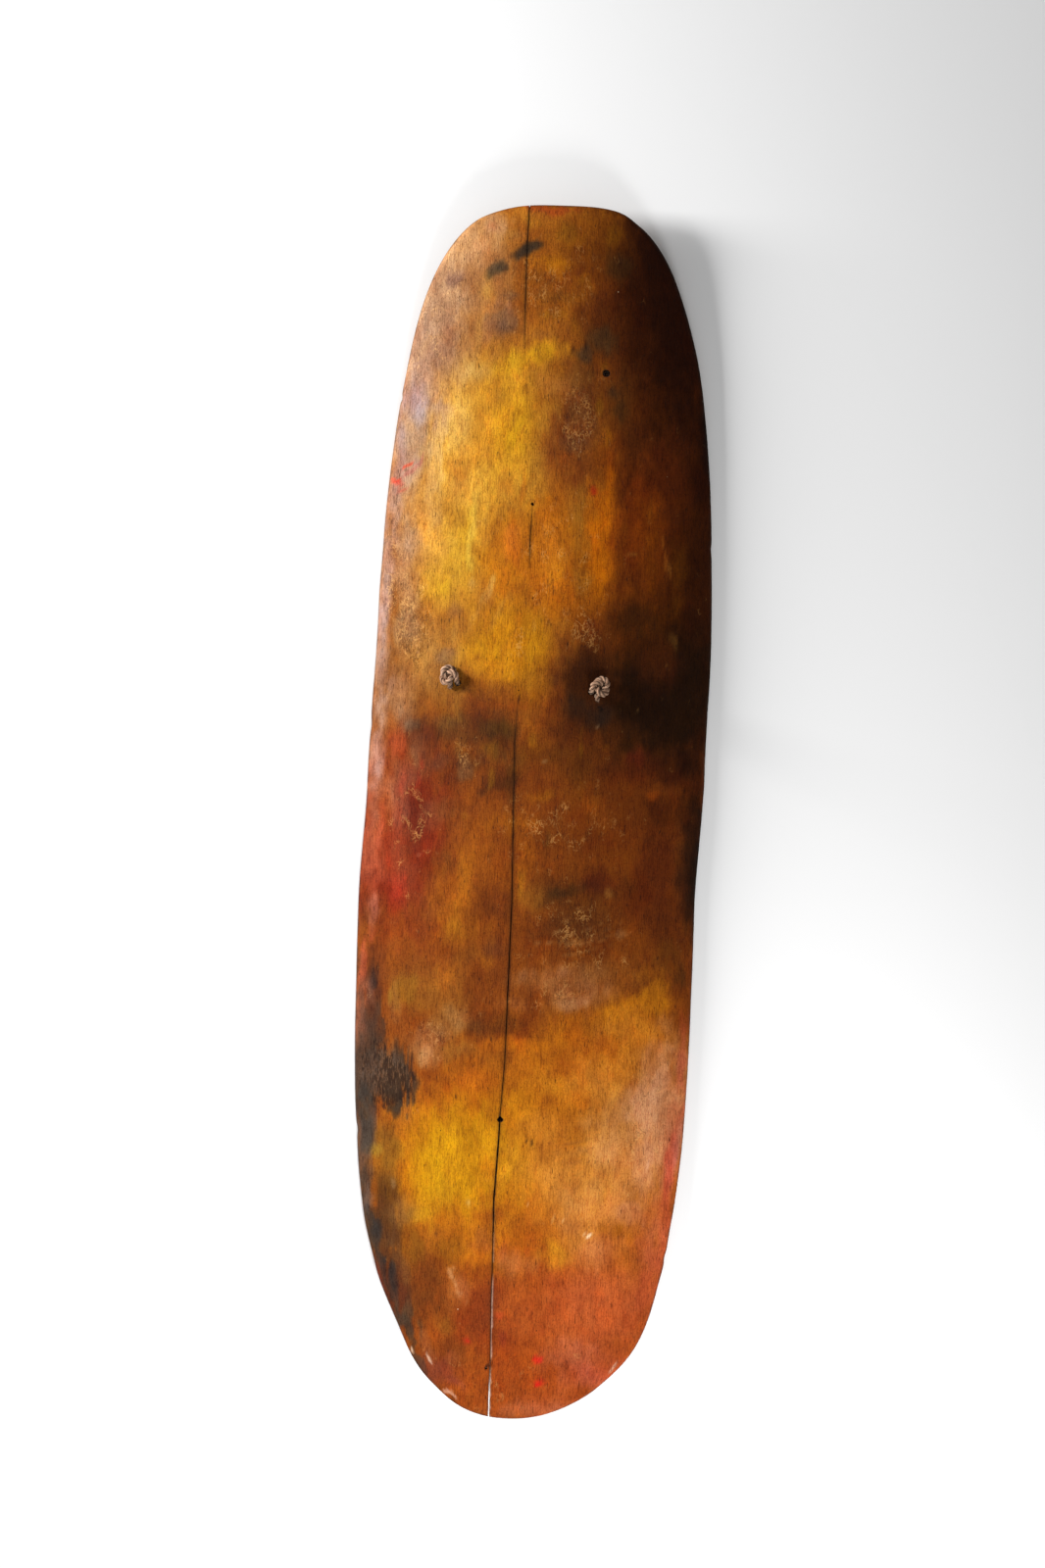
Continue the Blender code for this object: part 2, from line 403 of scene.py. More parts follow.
def painted_face(ground: str, rows: str) -> PaintedFace:
    """Reads a painted face from text.

    Args:
        ground: Its ground colour.
        rows: One dab to a line, with the values of Dab's fields in their order. The last ones may be left out
            where they are Dab's own. A line that starts with # is a remark.

    Returns:
        The face with its dabs in the order of their lines.
    """
    dabs = []
    for row in rows.strip().splitlines():
        if not row.startswith("#"):
            x, y, wide, tall, code, *rest = row.split()
            dabs.append(Dab(float(x), float(y), float(wide), float(tall), code, *map(float, rest)))
    return PaintedFace(ground, tuple(dabs))


OLD_PAINT = painted_face(
    "74380a",
    # A few soft glazes over single places of the finished face; the pale greys at the left are partly painted
    # sheen.
    # Last, thin glazes that bring the broad places together. The pale greys and pinks along the left edge are
    # partly painted sheen.
    # The next two dabs are painted shadows, below the right knot's tail and to the lower right of the left
    # knot.
    # Worn tan at the upper left, lighter along the left edge as painted sheen.
    """
# Broad grounds: ochre above, brown across the middle, orange below.
-60 400 340 640 a97020 1 0 0.6
-10 690 420 300 90500f 0.9 0 0.7
30 -430 560 420 a55c0c 1 16 0.45
40 -660 420 320 8f3f0e 1 0 0.6
190 340 230 900 381602 1 2 0.75
150 640 190 420 2a0e02 1 12 0.7
# Worn tan at the upper left.
-140 640 210 330 a17a58 1 -17 0.8
-175 500 110 420 9a7658 0.95 -4
-90 705 120 90 ad7c48 0.8 -20
-30 738 230 50 ad6a1c 0.7 2
-80 640 120 160 8c5a2e 0.8
-60 600 90 70 80502e 0.6
-165 590 60 120 8f6c58 0.5
-135 545 60 130 8e664c 0.5
# Ochre and brown over the rest of the upper end.
-10 650 140 150 8e4d0e 0.8
-10 590 130 90 9b5814 0.7
50 690 120 170 6c3606 0.8
65 600 100 230 5c2a08 0.85
108 610 90 330 3a1602 0.8 10
-25 562 190 50 b87a14 0.8 6 0.8
# The yellow cloud.
-85 450 220 330 b88428 0.9 -4 0.8
-50 480 130 220 bb8014 0.7
-110 480 60 210 b58a3c 0.6
-100 340 160 260 a9781c 0.8 -6
-128 285 110 110 a97c18 0.6
-92 350 36 170 b68a14 0.5
-45 300 130 240 a25c06 0.8 0 0.8
-60 215 170 130 a0680a 0.8
-15 190 90 190 aa6c06 0.8
-165 330 70 260 96683a 0.5
# Orange down the middle, and the brown patch right of it.
10 330 110 240 ac5e08 0.9 0 0.8
25 320 50 130 b67012 0.7
74 345 66 230 bc6406 0.95 0 0.8
30 480 110 220 7c4112 1 6 0.6
20 420 70 130 7e3c0c 0.7
72 500 60 120 6c380c 0.6
70 440 60 90 904a0a 0.6
112 370 80 240 7e340a 0.8
150 410 90 200 5c240a 0.7
140 330 60 160 74300a 0.7
30 255 110 90 a25808 0.7
# The near-black cloud round the right knot.
150 150 300 240 241002 1 14 0.7
60 155 110 150 3a1a04 0.95 0 0.8
115 235 130 90 421e04 0.9 -14
150 190 80 90 54240a 0.6
40 105 130 110 582a08 0.7
120 55 110 60 612406 0.7 10
# Browns and reds left of and below the left knot.
-150 175 160 200 7f4f1a 0.9 0 0.8
-120 120 160 80 6e3a08 0.8 -14
-140 92 80 70 451e08 0.8
-45 88 60 70 401e06 0.8
-75 125 60 60 5c2a06 0.7
-8 95 60 130 80440a 0.8
-105 50 50 90 502408 0.6
-45 40 80 70 522608 0.8 -10
-165 -30 180 320 681e06 1 0 0.7
-185 10 70 220 7c3a12 0.6
-150 -30 60 120 581e0a 0.5
# The middle browns and oranges.
-60 -60 140 200 80400a 0.9
-100 -130 90 200 85460a 0.7
-8 -60 50 170 88460a 0.7
20 5 90 70 76380a 0.6 10
100 -30 130 90 743408 0.7
80 -95 150 60 582a08 0.8 8
-45 -115 70 90 5c2a06 0.7
30 -100 100 90 5e300c 0.6
45 -145 150 50 5a2c0a 0.7 8
150 -70 110 240 5c2608 0.8
198 -60 50 330 261002 0.9
60 -200 260 70 824412 0.8 10
60 -230 150 40 9a5c2a 0.7 10
-130 -220 130 120 754010 0.7
-120 -285 80 60 825230 0.6
-40 -262 130 40 5e2e08 0.8 2
# Lower orange, yellow and pink.
130 -280 170 110 b2620c 0.9 22 0.7
-30 -350 200 120 9a5408 0.7
-80 -430 240 230 a26c04 1 0 0.75
-30 -420 120 120 ae7008 0.7
165 -370 130 270 bc7c4e 1 -8 0.8
115 -440 130 170 bd7634 0.9
60 -500 150 110 b2661c 0.8
186 -430 40 260 ac5c40 0.8 -4
170 -545 70 120 a8502a 0.7
# Terracotta at the lower end.
90 -610 220 200 a04a1c 0.9
60 -690 200 120 8c3a0a 0.8
-40 -620 110 150 7c3610 0.9
-120 -590 110 180 66340e 0.9 12
-110 -530 90 60 905010 0.7
# The dark left edge.
-204 -300 76 300 362820 0.9 0 0.6 0.8
-160 -335 70 110 33251a 0.8 0 0.6 0.9
-195 -230 50 200 54230a 0.7
-205 -440 70 200 5a4030 0.9 -3 0.7 0.7
-175 -530 70 190 4c2c14 0.9 12 0.7 0.8
-150 -610 60 150 4c2210 0.9 24 0.7 0.7
# Small stains, smears and worn places over it all.
-35 690 54 26 3a2a14 0.85 25 0.8 0.5
-76 668 46 20 40301c 0.85 22 0.8 0.5
-118 655 36 20 7c5648 0.5 30
-60 625 54 34 8a5c44 0.5
-84 590 40 60 86583e 0.5
22 705 50 50 a0600c 0.6
30 640 70 50 9a5a0c 0.6 8
30 668 80 20 6e340c 0.5 4
-5 620 60 26 7c4212 0.5
-110 545 40 60 b08248 0.5
-195 300 40 170 927062 0.7
-182 420 36 110 8c5c4a 0.6
-168 420 52 9 b03a1c 0.6 40 0.8 0.6
-180 404 24 10 c0321a 0.85
-128 430 12 90 c09a58 0.5 4
-62 420 14 120 c08c20 0.5 -4 0.9 0.6
-86 380 10 150 9a6614 0.5 2 0.9 0.6
-30 400 16 110 a0560c 0.5 -3 0.9 0.6
-106 300 30 60 b88c24 0.6 10
-72 262 40 60 9c5c1c 0.5 20 0.9 0.6
-54 240 10 90 b07a2c 0.5 -22 0.9 0.5
-78 252 8 80 b07a2c 0.5 -22 0.9 0.5
-38 330 40 90 b4560c 0.5 8 0.9 0.6
76 350 20 200 cc6e04 0.7 0 0.8 0.5
50 400 12 110 c0660a 0.5 0 0.9 0.6
98 330 14 180 94480a 0.5 0 0.9 0.6
130 375 12 70 8e5a1c 0.5
168 220 10 54 7a5020 0.6 -8
44 520 60 70 6a3c12 0.4 0 0.9 0.8
28 568 6 14 3a1c08 0.7 -20
43 575 6 16 3a1c08 0.7 -20
40 540 90 16 55300e 0.4 8
-165 210 70 120 8d6238 0.5 0 0.9 0.8
-192 190 26 200 8a6650 0.5
-118 184 36 22 694632 0.8 -30
-84 150 24 22 6c3c0c 0.5
-36 128 90 22 96480c 0.5 4
-62 106 60 26 3c1c08 0.5 4
-22 60 40 60 7c4a12 0.5 0 0.9 0.8
105 62 190 40 4a2008 0.5
60 20 80 60 86460c 0.5 14
-44 32 110 22 4a2408 0.6 12
-34 -14 120 34 96520a 0.6 10
-172 -40 40 200 8c2a10 0.5 0 0.9 0.6
-196 -90 24 200 9a3c1c 0.6 0 0.9 0.6
-128 -120 40 90 6e340e 0.5 -8
-84 -80 40 160 95560c 0.5 -10 0.9 0.6
-52 -170 40 110 9a5a0e 0.5 -6 0.9 0.6
82 -88 64 40 561e08 0.6
65 -130 140 90 5c3412 0.5 8 0.8 0.7
58 -158 120 6 9a6a3c 0.5 7
40 -226 60 36 a6693c 0.6 4
82 -214 54 30 a2663a 0.5 12
-20 -236 60 30 8e5228 0.5 6
-192 -212 14 64 1d1410 0.8 0 0.8 0.5
-10 -286 90 20 a85c0a 0.6 4 0.6
60 -276 90 26 b6680c 0.7 12 0.6
126 -236 96 34 bb700c 0.8 32 0.6
-165 -345 46 120 241a14 0.6 0 0.7 0.9
-192 -330 20 160 2c231c 0.6 0 0.7 0.6
-125 -305 60 50 906238 0.6
-60 -330 70 40 a4500c 0.5 10
-100 -420 90 120 b07a08 0.5 0 0.9 0.6
-96 -480 60 50 ad7c10 0.6 20
-150 -380 30 60 9a5a1c 0.5
165 -325 26 90 cc9468 0.6 -10
148 -300 24 70 b4704a 0.5 -10
184 -430 20 140 b8452a 0.8 -6
85 -380 64 22 8c4a18 0.5 6 0.9 0.8
95 -408 60 12 9a5a20 0.4 4 0.9 0.8
-165 -450 50 90 7c4a14 0.5
42 -545 60 30 ba7c18 0.6 4
78 -521 10 8 d8b080 0.7
-60 -653 18 12 b03418 0.7
-24 -622 16 14 b03a1a 0.6
30 -700 20 12 b42c14 0.6
90 -690 90 40 9a3018 0.4 -16
-90 -690 40 30 8c2c14 0.4 40
-195 240 36 70 8e6c54 0.8
-172 470 60 200 947468 0.7
-135 560 50 60 86624c 0.6
-80 724 70 36 b48a64 0.6 -14
-5 655 50 40 7e440c 0.6
110 470 50 100 4a2008 0.6
198 470 44 170 1c0804 0.8
18 330 60 130 a0540a 0.5 0 0.9 0.6
44 420 40 60 74360c 0.5
-30 240 60 60 9a5a08 0.5
-110 240 50 60 8c5c1c 0.6
135 300 50 180 6c3604 0.6 0 0.9 0.6
168 290 36 150 5c3004 0.6 0 0.9 0.6
-100 190 44 40 a0702a 0.5
-190 180 40 60 6c4a2c 0.5 0 0.9 0.7
-45 118 60 30 5c3210 0.7
-135 60 44 44 5a2c14 0.7
-75 62 56 44 5c2e0c 0.6
-15 62 30 60 6c3c0e 0.5
55 66 120 50 5a2c08 0.8
185 64 90 70 2a1002 0.85
160 4 100 60 481e04 0.7
45 -5 60 60 74380a 0.5
-95 -10 60 60 74380c 0.5
-78 -178 50 50 7c4610 0.6
165 -130 70 110 4e2006 0.6
188 -200 40 60 4a2a0c 0.7
-165 -240 40 90 8a5a2c 0.8 0 0.9 0.6
110 -244 70 24 b26a12 0.6 16
166 -236 70 50 ab620c 0.8 30
76 -248 50 20 a05c20 0.5 8
-86 -296 90 36 86521a 0.8 6
-40 -305 60 30 92520e 0.6
110 -360 70 100 bc804a 0.5
62 -455 170 120 c07e34 0.6
106 -535 110 50 b8662e 0.6
-166 -480 50 130 54340f 0.8 8 0.8 0.6
-136 -530 46 110 6e420c 0.7 10 0.9 0.5
-88 -545 80 50 8c540a 0.7 6
-76 -606 60 60 7a4a1c 0.5
-76 -668 80 60 6e3c12 0.7
-112 -664 26 50 8c4c24 0.6 20
-46 -700 60 110 84400e 0.6
44 -726 120 40 9c4a24 0.6
-5 -590 50 60 a04c14 0.5
182 -500 38 170 b04a2c 0.7 -10
158 -590 60 110 ad4626 0.6 -24
-110 -455 90 130 b8860a 0.7 8
-120 -500 60 60 b0800e 0.6 30
-44 -500 50 110 a0580e 0.6
-168 -415 44 80 6e4a14 0.7 4
-60 545 90 50 b88214 0.5 6
-150 60 30 60 6c4a30 0.4
# The upper end seen close: rubbed tan, ochre and brown clouds.
-78 718 34 22 a8542a 0.4 -10
0 743 96 14 983c12 0.65
-27 728 40 22 a06a18 0.5
12 714 46 34 8a5a10 0.5
72 712 44 40 8c560a 0.6
80 672 46 60 40260f 0.7
36 660 32 18 96600e 0.5
2 672 56 40 b47008 0.7
-30 694 44 20 40301c 0.8 15 0.7 0.5
-38 688 34 13 40301c 0.7 27 0.7 0.5
-74 665 36 15 3a2c1e 0.85 25 0.7 0.5
-80 662 30 10 4a3820 0.6 25
-116 652 34 24 6e4c3c 0.6 25
-84 642 30 50 9c6c28 0.6
-52 637 46 26 6c4426 0.6
10 637 90 30 774612 0.6
-62 598 46 38 694630 0.7
-89 590 16 70 a0702c 0.6
0 612 60 28 9c680e 0.6
30 600 30 50 8c540e 0.5
-10 588 44 18 86501c 0.5
-46 552 42 42 ae8012 0.7
-14 565 44 32 b4820e 0.5
4 540 40 50 9a6010 0.6
62 585 50 46 46301a 0.7 -30
34 564 34 22 553618 0.7 -35
34 540 44 44 744618 0.6 0 0.9 0.6
62 550 16 24 8a5a12 0.5
79 520 32 38 4c3420 0.7
88 492 26 44 3e240c 0.6
62 500 14 36 94600e 0.5
68 460 18 60 9c5c0a 0.6
36 492 42 54 6a401a 0.6 0 0.9 0.6
30 456 50 34 6a4024 0.6
62 388 24 40 bc5e08 0.6
136 385 14 50 8e4008 0.5
-178 396 30 9 aa3a20 0.6 20 0.8 0.9
-155 434 6 34 a03a20 0.6 -14 0.8 0.8
-112 478 34 90 bb9448 0.5
-63 512 30 30 b08428 0.5
-46 465 42 84 b78e10 0.7
-139 498 30 34 a07c50 0.5
# Round the knots: yellow and orange strokes, the dark cloud, and browns below.
-115 330 26 64 b48a20 0.4
-124 278 48 42 b88c16 0.7
-90 345 18 104 b89a3c 0.6
-38 338 42 62 b2601a 0.6
-90 278 14 26 b08a4c 0.5 0 0.9 0.8
-66 278 10 42 bb9048 0.6 -20
-78 262 9 42 b68c40 0.5 -20
-106 240 38 34 87592a 0.6
-60 200 62 42 a37c0c 0.6
-10 200 26 80 ae740c 0.5
-7 229 7 26 c4924c 0.6
28 308 12 42 bb7c2c 0.5 10 0.9 0.7
99 320 24 140 6e3608 0.6
156 302 5 46 946428 0.7 8
112 322 14 6 a0783c 0.5
120 236 70 60 2e1808 0.7
168 212 12 42 6a4c20 0.6 14 0.9 0.7
152 190 28 6 7c5c34 0.5 -40 0.8 0.8
66 232 36 42 823e10 0.6 0 0.9 0.7
54 188 34 40 3e1e08 0.6
22 160 20 36 5a2e10 0.6
45 128 50 42 2e1c10 0.7
76 118 52 52 241a16 0.7
74 105 7 5 9a8468 0.7
-112 192 42 15 6a4630 0.7 -14
-84 142 36 20 64380c 0.6
-55 136 42 20 94520c 0.6
-110 108 70 28 62401a 0.6
-50 100 52 28 4a300c 0.7
-56 74 40 42 7c520a 0.6
-98 74 28 44 744c1c 0.5
-92 52 24 36 694c34 0.5
-122 60 28 36 522c1a 0.6
-152 100 42 24 54402c 0.6
-176 74 38 52 98401e 0.7
-147 38 15 62 8e200c 0.7 0 0.9 0.5
-167 25 13 52 9a2a10 0.6
-183 25 18 60 9a5430 0.6
-10 92 24 42 9c680e 0.6
5 65 9 6 9c8468 0.5
56 78 12 46 7a5008 0.6
86 82 26 15 8a520c 0.5 20
118 72 36 32 5c1e0c 0.6
144 24 26 17 a24c0a 0.6
10 20 52 20 9c5e0c 0.6
-58 40 15 62 80580e 0.5
-32 42 34 62 4c2e0c 0.6
# The middle: reds at the left, browns with worn places, and the brushed edge of the orange.
-190 -30 13 84 9c3c20 0.6
-142 -22 38 62 5e200e 0.6
-170 -95 52 72 8c200e 0.7 6
-168 -104 30 66 94180c 0.3 0 0.9 0.5
-142 -58 28 6 a0604a 0.5 30 0.8 0.8
-90 -6 62 24 8e5612 0.5 0 0.9 0.8
-106 -62 42 52 5c300e 0.6
-95 -125 36 82 90580e 0.6
-42 -112 38 58 58290e 0.6
-12 -90 15 52 9c6410 0.6
-4 -126 14 18 94580c 0.6
12 -40 17 62 4e320a 0.6 -6
76 -92 48 32 4a1e0c 0.6
97 -99 13 19 8e5e28 0.6
28 -105 48 38 4c2c0e 0.6
34 -133 42 28 7e502a 0.6 20 0.9 0.7
112 -150 32 15 92603a 0.5 12 0.9 0.9
40 -157 72 5 90602f 0.6 11
70 -168 92 5 8c5c30 0.5 10
-45 -172 42 42 5a2c14 0.6
-4 -198 42 36 8c562e 0.6 0 0.9 0.7
42 -195 62 36 8e5832 0.6 6 0.9 0.7
100 -190 52 52 7c4618 0.5 0 0.9 0.8
52 -236 58 25 a06a42 0.7 10 0.9 0.6
-62 -268 52 32 5c3210 0.7
-92 -262 38 52 80562c 0.5
-122 -302 36 46 96704a 0.7 -20 0.9 0.6
-110 -268 42 36 84582e 0.5
-150 -225 62 62 7e5410 0.6
-171 -236 15 46 94701c 0.7
-194 -215 13 84 2a1a14 0.8
-205 -200 13 94 a04a2c 0.7
-158 -335 46 94 2a2018 0.6 0 0.5 0.9
-150 -350 30 80 30261e 0.7 0 0.5 0.9
-141 -312 5 62 2a1a12 0.8 0 0.6 0.5
150 -226 60 50 aa660c 0.7 34 0.5
30 -338 62 42 b87612 0.5
92 -335 58 46 b87820 0.5
193 -310 17 144 b45438 0.7
# The lower end: yellow cloud, tan, terracotta and the dark dry strokes down the left.
-182 -425 28 26 8c6e20 0.7
-160 -465 13 46 80603c 0.6 14 0.9 0.8
-178 -520 18 62 282220 0.7 14 0.7 0.9
-160 -575 24 72 2a2624 0.8 22 0.7 0.9
-172 -590 9 62 8c2416 0.6 24
-134 -625 36 84 4c3a26 0.7 20 0.9 0.8
-66 -484 11 17 b8965c 0.7
-40 -498 72 22 8e480c 0.6 6
-14 -545 28 42 8a3c14 0.6
-48 -538 44 20 944c14 0.5
40 -540 32 48 bc7c14 0.7 30
74 -525 46 28 b67220 0.6 20
30 -566 5 26 b87c44 0.5 -30
55 -415 82 17 9a5e22 0.5 4
90 -465 32 62 c68a40 0.6
154 -436 6 19 d4a07c 0.7
23 -670 17 12 b8200e 0.95 0 0.6
-18 -655 26 42 742814 0.6
-90 -640 42 52 7e4e14 0.6
-36 -610 24 84 6a2c10 0.5
-86 -576 6 19 b8885c 0.6 30
-80 -584 6 17 c49a6c 0.6 25
-76 -592 13 6 b88a5c 0.6 -20
-84 -570 13 6 b08050 0.5 -10
-66 -604 6 6 dcb890 0.8
# Last, thin glazes that bring the broad places together.
-110 690 130 110 c09468 0.5 -20
-160 530 50 110 ac8878 0.5
-130 480 64 120 c4a060 0.5
-40 480 90 180 cc940f 0.45
-202 240 46 320 bc9c88 0.5
-204 60 36 130 b48c80 0.6
-140 335 70 160 cc9c50 0.3
-140 190 100 140 ac8040 0.4
-55 190 120 120 c8880a 0.6
12 290 60 140 c07008 0.4
0 72 120 44 5c3408 0.35
-202 -30 40 250 b46a50 0.4
-110 -110 80 160 9e5c10 0.4
-105 -230 90 110 98641c 0.4
-45 -100 60 90 8a4408 0.4
45 -205 100 60 aa744c 0.35
120 -250 140 80 d08014 0.45 20
-210 -260 24 180 a85838 0.5
90 -330 170 100 d48c30 0.45
-5 -360 90 90 cc880c 0.5
40 -430 210 160 d49038 0.4
150 -440 70 170 d4946c 0.35
-75 -440 80 140 cc920c 0.4
172 -490 50 110 c0603c 0.4
110 -600 210 220 c46034 0.42
0 -620 100 110 a85424 0.3
-106 -690 60 50 7a3420 0.4
-196 -395 30 130 38322c 0.8 0 0.7 0.8
-193 -470 20 110 302a24 0.5 6 0.7 0.9
-179 -535 20 110 2c2826 0.65 14 0.7 0.9
-160 -590 20 100 2e2622 0.55 24 0.7 0.9
-140 -640 22 100 382e24 0.7 28 0.7 0.9
-118 -688 20 60 3c322a 0.6 36 0.7 0.9
-150 -560 30 130 54391f 0.5 22 0.9 0.9
-205 -262 12 120 3a2c24 0.4 0 0.7 0.8
-95 98 160 54 46290f 0.55 -6 0.9 0.5
-60 66 90 44 4c2c10 0.4 0 0.9 0.6
-147 75 46 60 5c3420 0.5 0 0.9 0.6
90 520 60 150 4a2a10 0.45 0 0.9 0.5
104 470 50 80 4e2408 0.4
-82 350 6 120 94601c 0.5 2 0.9 0.6
-97 400 5 120 a8741c 0.4 2 0.9 0.6
8 470 8 150 7c4a1c 0.45 4 0.9 0.6
-165 -75 64 160 7c4426 0.4
-110 540 90 50 a07440 0.4
-175 130 64 100 a08470 0.4
-202 115 40 90 a89088 0.45
-172 310 50 170 b49480 0.4
70 258 54 60 a85a08 0.4
122 360 76 130 8c4404 0.4
160 -510 90 120 cc6e44 0.42
110 -492 100 90 d4884c 0.5
120 -692 120 80 c0583c 0.45
30 -738 190 30 b46850 0.4
-100 -695 56 64 6c3424 0.5
-172 -330 80 110 5e4a3a 0.45 0 0.9 0.8
-75 -708 60 26 8a4030 0.4 -30
115 -385 120 90 cc9054 0.35
28 -385 80 60 c8842c 0.35
-150 -497 60 60 7c5c3c 0.3
182 -430 40 120 bc604c 0.35
-128 -669 4 12 d0b49c 0.8 24 0.7 0.6
-107 -678 4 16 d0b49c 0.7 30 0.7 0.6
-84 -722 26 5 c89c88 0.7 -34 0.7 0.6
118 -686 6 22 d4b098 0.7 -34 0.7 0.6
88 297 22 4 2a1206 0.9 6 0.7
0 510 54 70 b47c1c 0.4
-105 388 60 54 cc9c44 0.3
-75 345 36 54 d89830 0.3
60 300 76 150 c06c00 0.25
-165 475 54 140 94828e 0.35
-188 385 50 80 ac949a 0.35
-198 235 30 90 947c88 0.3
-165 250 44 60 b49c84 0.3
200 490 34 80 120602 0.6
200 -85 28 200 0c0804 0.5
165 45 42 36 481a06 0.5
62 38 80 80 5c3408 0.22
-105 150 50 130 b08c38 0.28
0 -105 60 50 8c5e1c 0.35
-90 -148 70 60 b07812 0.28
0 -205 110 50 a06c40 0.3
112 -205 100 56 a06224 0.28
168 -178 44 80 6c400c 0.5 20
15 -330 110 60 d88c1a 0.28
125 -305 90 60 d08c34 0.3
80 -378 70 50 d89c50 0.35
-45 -405 44 110 cc9010 0.28
105 -420 50 60 dca064 0.35
75 -525 90 70 d08844 0.33
-45 -530 60 60 945630 0.3 0 0.9 0.6
-80 -692 70 50 64301e 0.28
80 -700 120 50 cc6c58 0.33
150 330 120 420 7c3c00 0.15
130 215 150 160 602e00 0.2
-52 709 40 16 a87434 0.5
-92 545 70 60 98825c 0.3
-138 405 40 170 b8a084 0.35
-166 450 54 170 8a8298 0.35
40 455 60 110 94602c 0.22
8 320 54 140 d8882a 0.25
-45 205 60 90 c87800 0.28
-105 212 40 54 b49048 0.3
-12 112 60 40 a0601c 0.3
-198 45 30 140 b0989a 0.3
-166 20 50 120 8c7870 0.27
-125 -5 60 64 846444 0.3
165 45 42 36 301004 0.4
50 45 56 44 4a2c08 0.22
0 -105 60 50 b0701c 0.3
-95 -155 54 50 b47c14 0.25
95 -50 60 50 8c4c08 0.2
108 -105 36 36 8c5018 0.3
75 -195 50 36 a87848 0.33
150 -197 80 44 a46410 0.35
-197 -232 22 70 9c6048 0.4
-85 -255 74 44 a07850 0.28
120 -268 130 74 dc9a3c 0.3
145 -355 74 150 dcae88 0.38
65 -480 84 60 e0a868 0.3
132 -495 54 44 dca080 0.35
90 -542 74 60 d08858 0.33
-12 -556 44 40 b86c34 0.33
-70 -588 40 40 a86c40 0.3
-168 -585 16 60 6a4434 0.4 24
-75 -675 34 26 a86038 0.35
-108 -672 28 26 5c3020 0.3
-78 -707 36 20 5c2018 0.35
65 -668 120 64 d08078 0.27
-166 465 44 110 96703c 0.5
-160 505 40 90 84808e 0.33
-198 200 26 220 8c7c82 0.25
-10 165 44 50 b07a20 0.25
-88 375 32 100 d0a034 0.3 3 0.35
-192 -495 22 64 80706c 0.45
-197 -125 22 74 b08078 0.35
-165 -312 30 44 5c4c44 0.3
75 -228 40 34 b8845c 0.35
165 -255 36 44 c08450 0.3
100 -408 90 74 dca468 0.3
192 -415 18 74 c08478 0.35
-12 -556 74 64 b8703c 0.4
60 -505 90 50 dc9c60 0.3
-74 -586 50 44 a86c40 0.25
# Single strokes, marks and flecks that stand out from the clouds.
-36 690 54 20 38281a 0.8 25 0.6 0.4
-60 604 48 34 6a4c38 0.55 0 0.5
-52 636 60 12 6c4428 0.5 3 0.6
42 566 30 40 3c2c20 0.6 -20 0.6 0.5
-25.5 138 2.6 32 341406 0.9 -4 0.5 0.2
-25 105 2.6 60 341406 0.6 2 0.5 0.2
74 131 18 12 0c0604 0.9 0 0.7 0.2
-92 146 26 12 5c3410 0.6 -35 0.8
55 -402 96 4 94581e 0.6 8 0.7 0.6
72 -430 70 4 a0642a 0.5 -6 0.7 0.6
68 -411 60 14 a86c34 0.45 -5 0.8 0.7
46 -556 90 5 c8782c 0.5 24 0.7 0.6
70 -142 120 3.4 8e6238 0.5 9 0.7 0.9
62 -152 130 3.4 7c4e28 0.5 12 0.7 0.9
16 -162 46 3.4 8e6238 0.5 -6 0.7 0.9
44 -98 70 20 30200e 0.4 14 0.8 0.6
82 -523 10 5 ecd8b4 0.9 0 0.6 0.2
9 -484 5 5 dcbc88 0.9 0 0.6 0.2
51 -500 5 5 e0c08c 0.8 0 0.6 0.2
36 -503 3.4 22 c8904c 0.6 -10 0.6 0.5
9 -406 5 12 2a1408 0.8 10 0.6 0.2
0 -404 4 4 2a1408 0.8 0 0.6 0.2
-37 -687 7 7 240e06 0.9 0 0.6 0.1
5 -606 4.5 4.5 3c1408 0.8 0 0.6 0.1
32 -702 15 8 bc1c10 0.95 0 0.6 0.2
-60 -655 12 6 a82412 0.8 10 0.7 0.4
-106 -524 5 8 5a3010 0.8 0 0.6 0.2
150 320 3.4 90 a05c1c 0.6 5 0.7 0.7
58 396 12 14 b02410 0.6 0 0.8 0.6
# A few soft glazes over single places of the finished face.
-136 498 36 100 7a5e7c 0.3
-90 528 90 46 9a6420 0.25
10 525 66 46 c88c44 0.3
42 488 44 70 a86c34 0.3
-193 285 30 50 745c50 0.35
-165 335 40 80 a8a4a8 0.2
-165 222 50 60 a49484 0.25
-165 108 40 60 8c7c70 0.25
-45 205 40 60 b0780c 0.3
115 320 150 340 963e00 0.15
-190 -330 50 70 746050 0.25
-150 -335 56 56 8c6440 0.25
85 -300 100 150 d88c40 0.14
15 -558 36 40 d09450 0.3
-16 -562 26 50 7c4a1c 0.25
-58 676 10 18 a4703a 0.65 20 0.6
-172 426 26 5 c03018 0.7 40 0.8 0.6
-184 407 16 8 c42c18 0.75 10 0.7 0.4
-166 470 40 100 a07850 0.3
190 -60 40 230 40200c 0.4
-85 -440 130 120 a87006 0.14
""",
)


# How far each place of the front is rubbed down: the lighter, the more.
RUBBED_PLACES = painted_face(
    "101010",
    """
-140 600 170 420 444444 1 -14
-175 300 110 400 505050
-110 330 200 500 303030 0.7
150 -380 150 300 3c3c3c 1 -8
40 -220 260 90 484848 1 10
-120 -270 110 130 505050
0 -700 360 120 303030
38 495 60 130 585858
60 225 70 60 404040
60 -130 130 90 404040
-20 200 60 90 383838
-155 215 84 190 606060
38 480 80 170 646464
60 225 50 80 606060
50 -140 170 120 484848
-90 70 90 90 4c4c4c
0 650 240 200 4c4c4c 0.9
25 300 190 260 464646 0.9
-155 -20 110 260 3e3e3e 0.9
30 -20 300 200 464646 0.9
75 -165 190 150 545454 0.8 8
""",
)

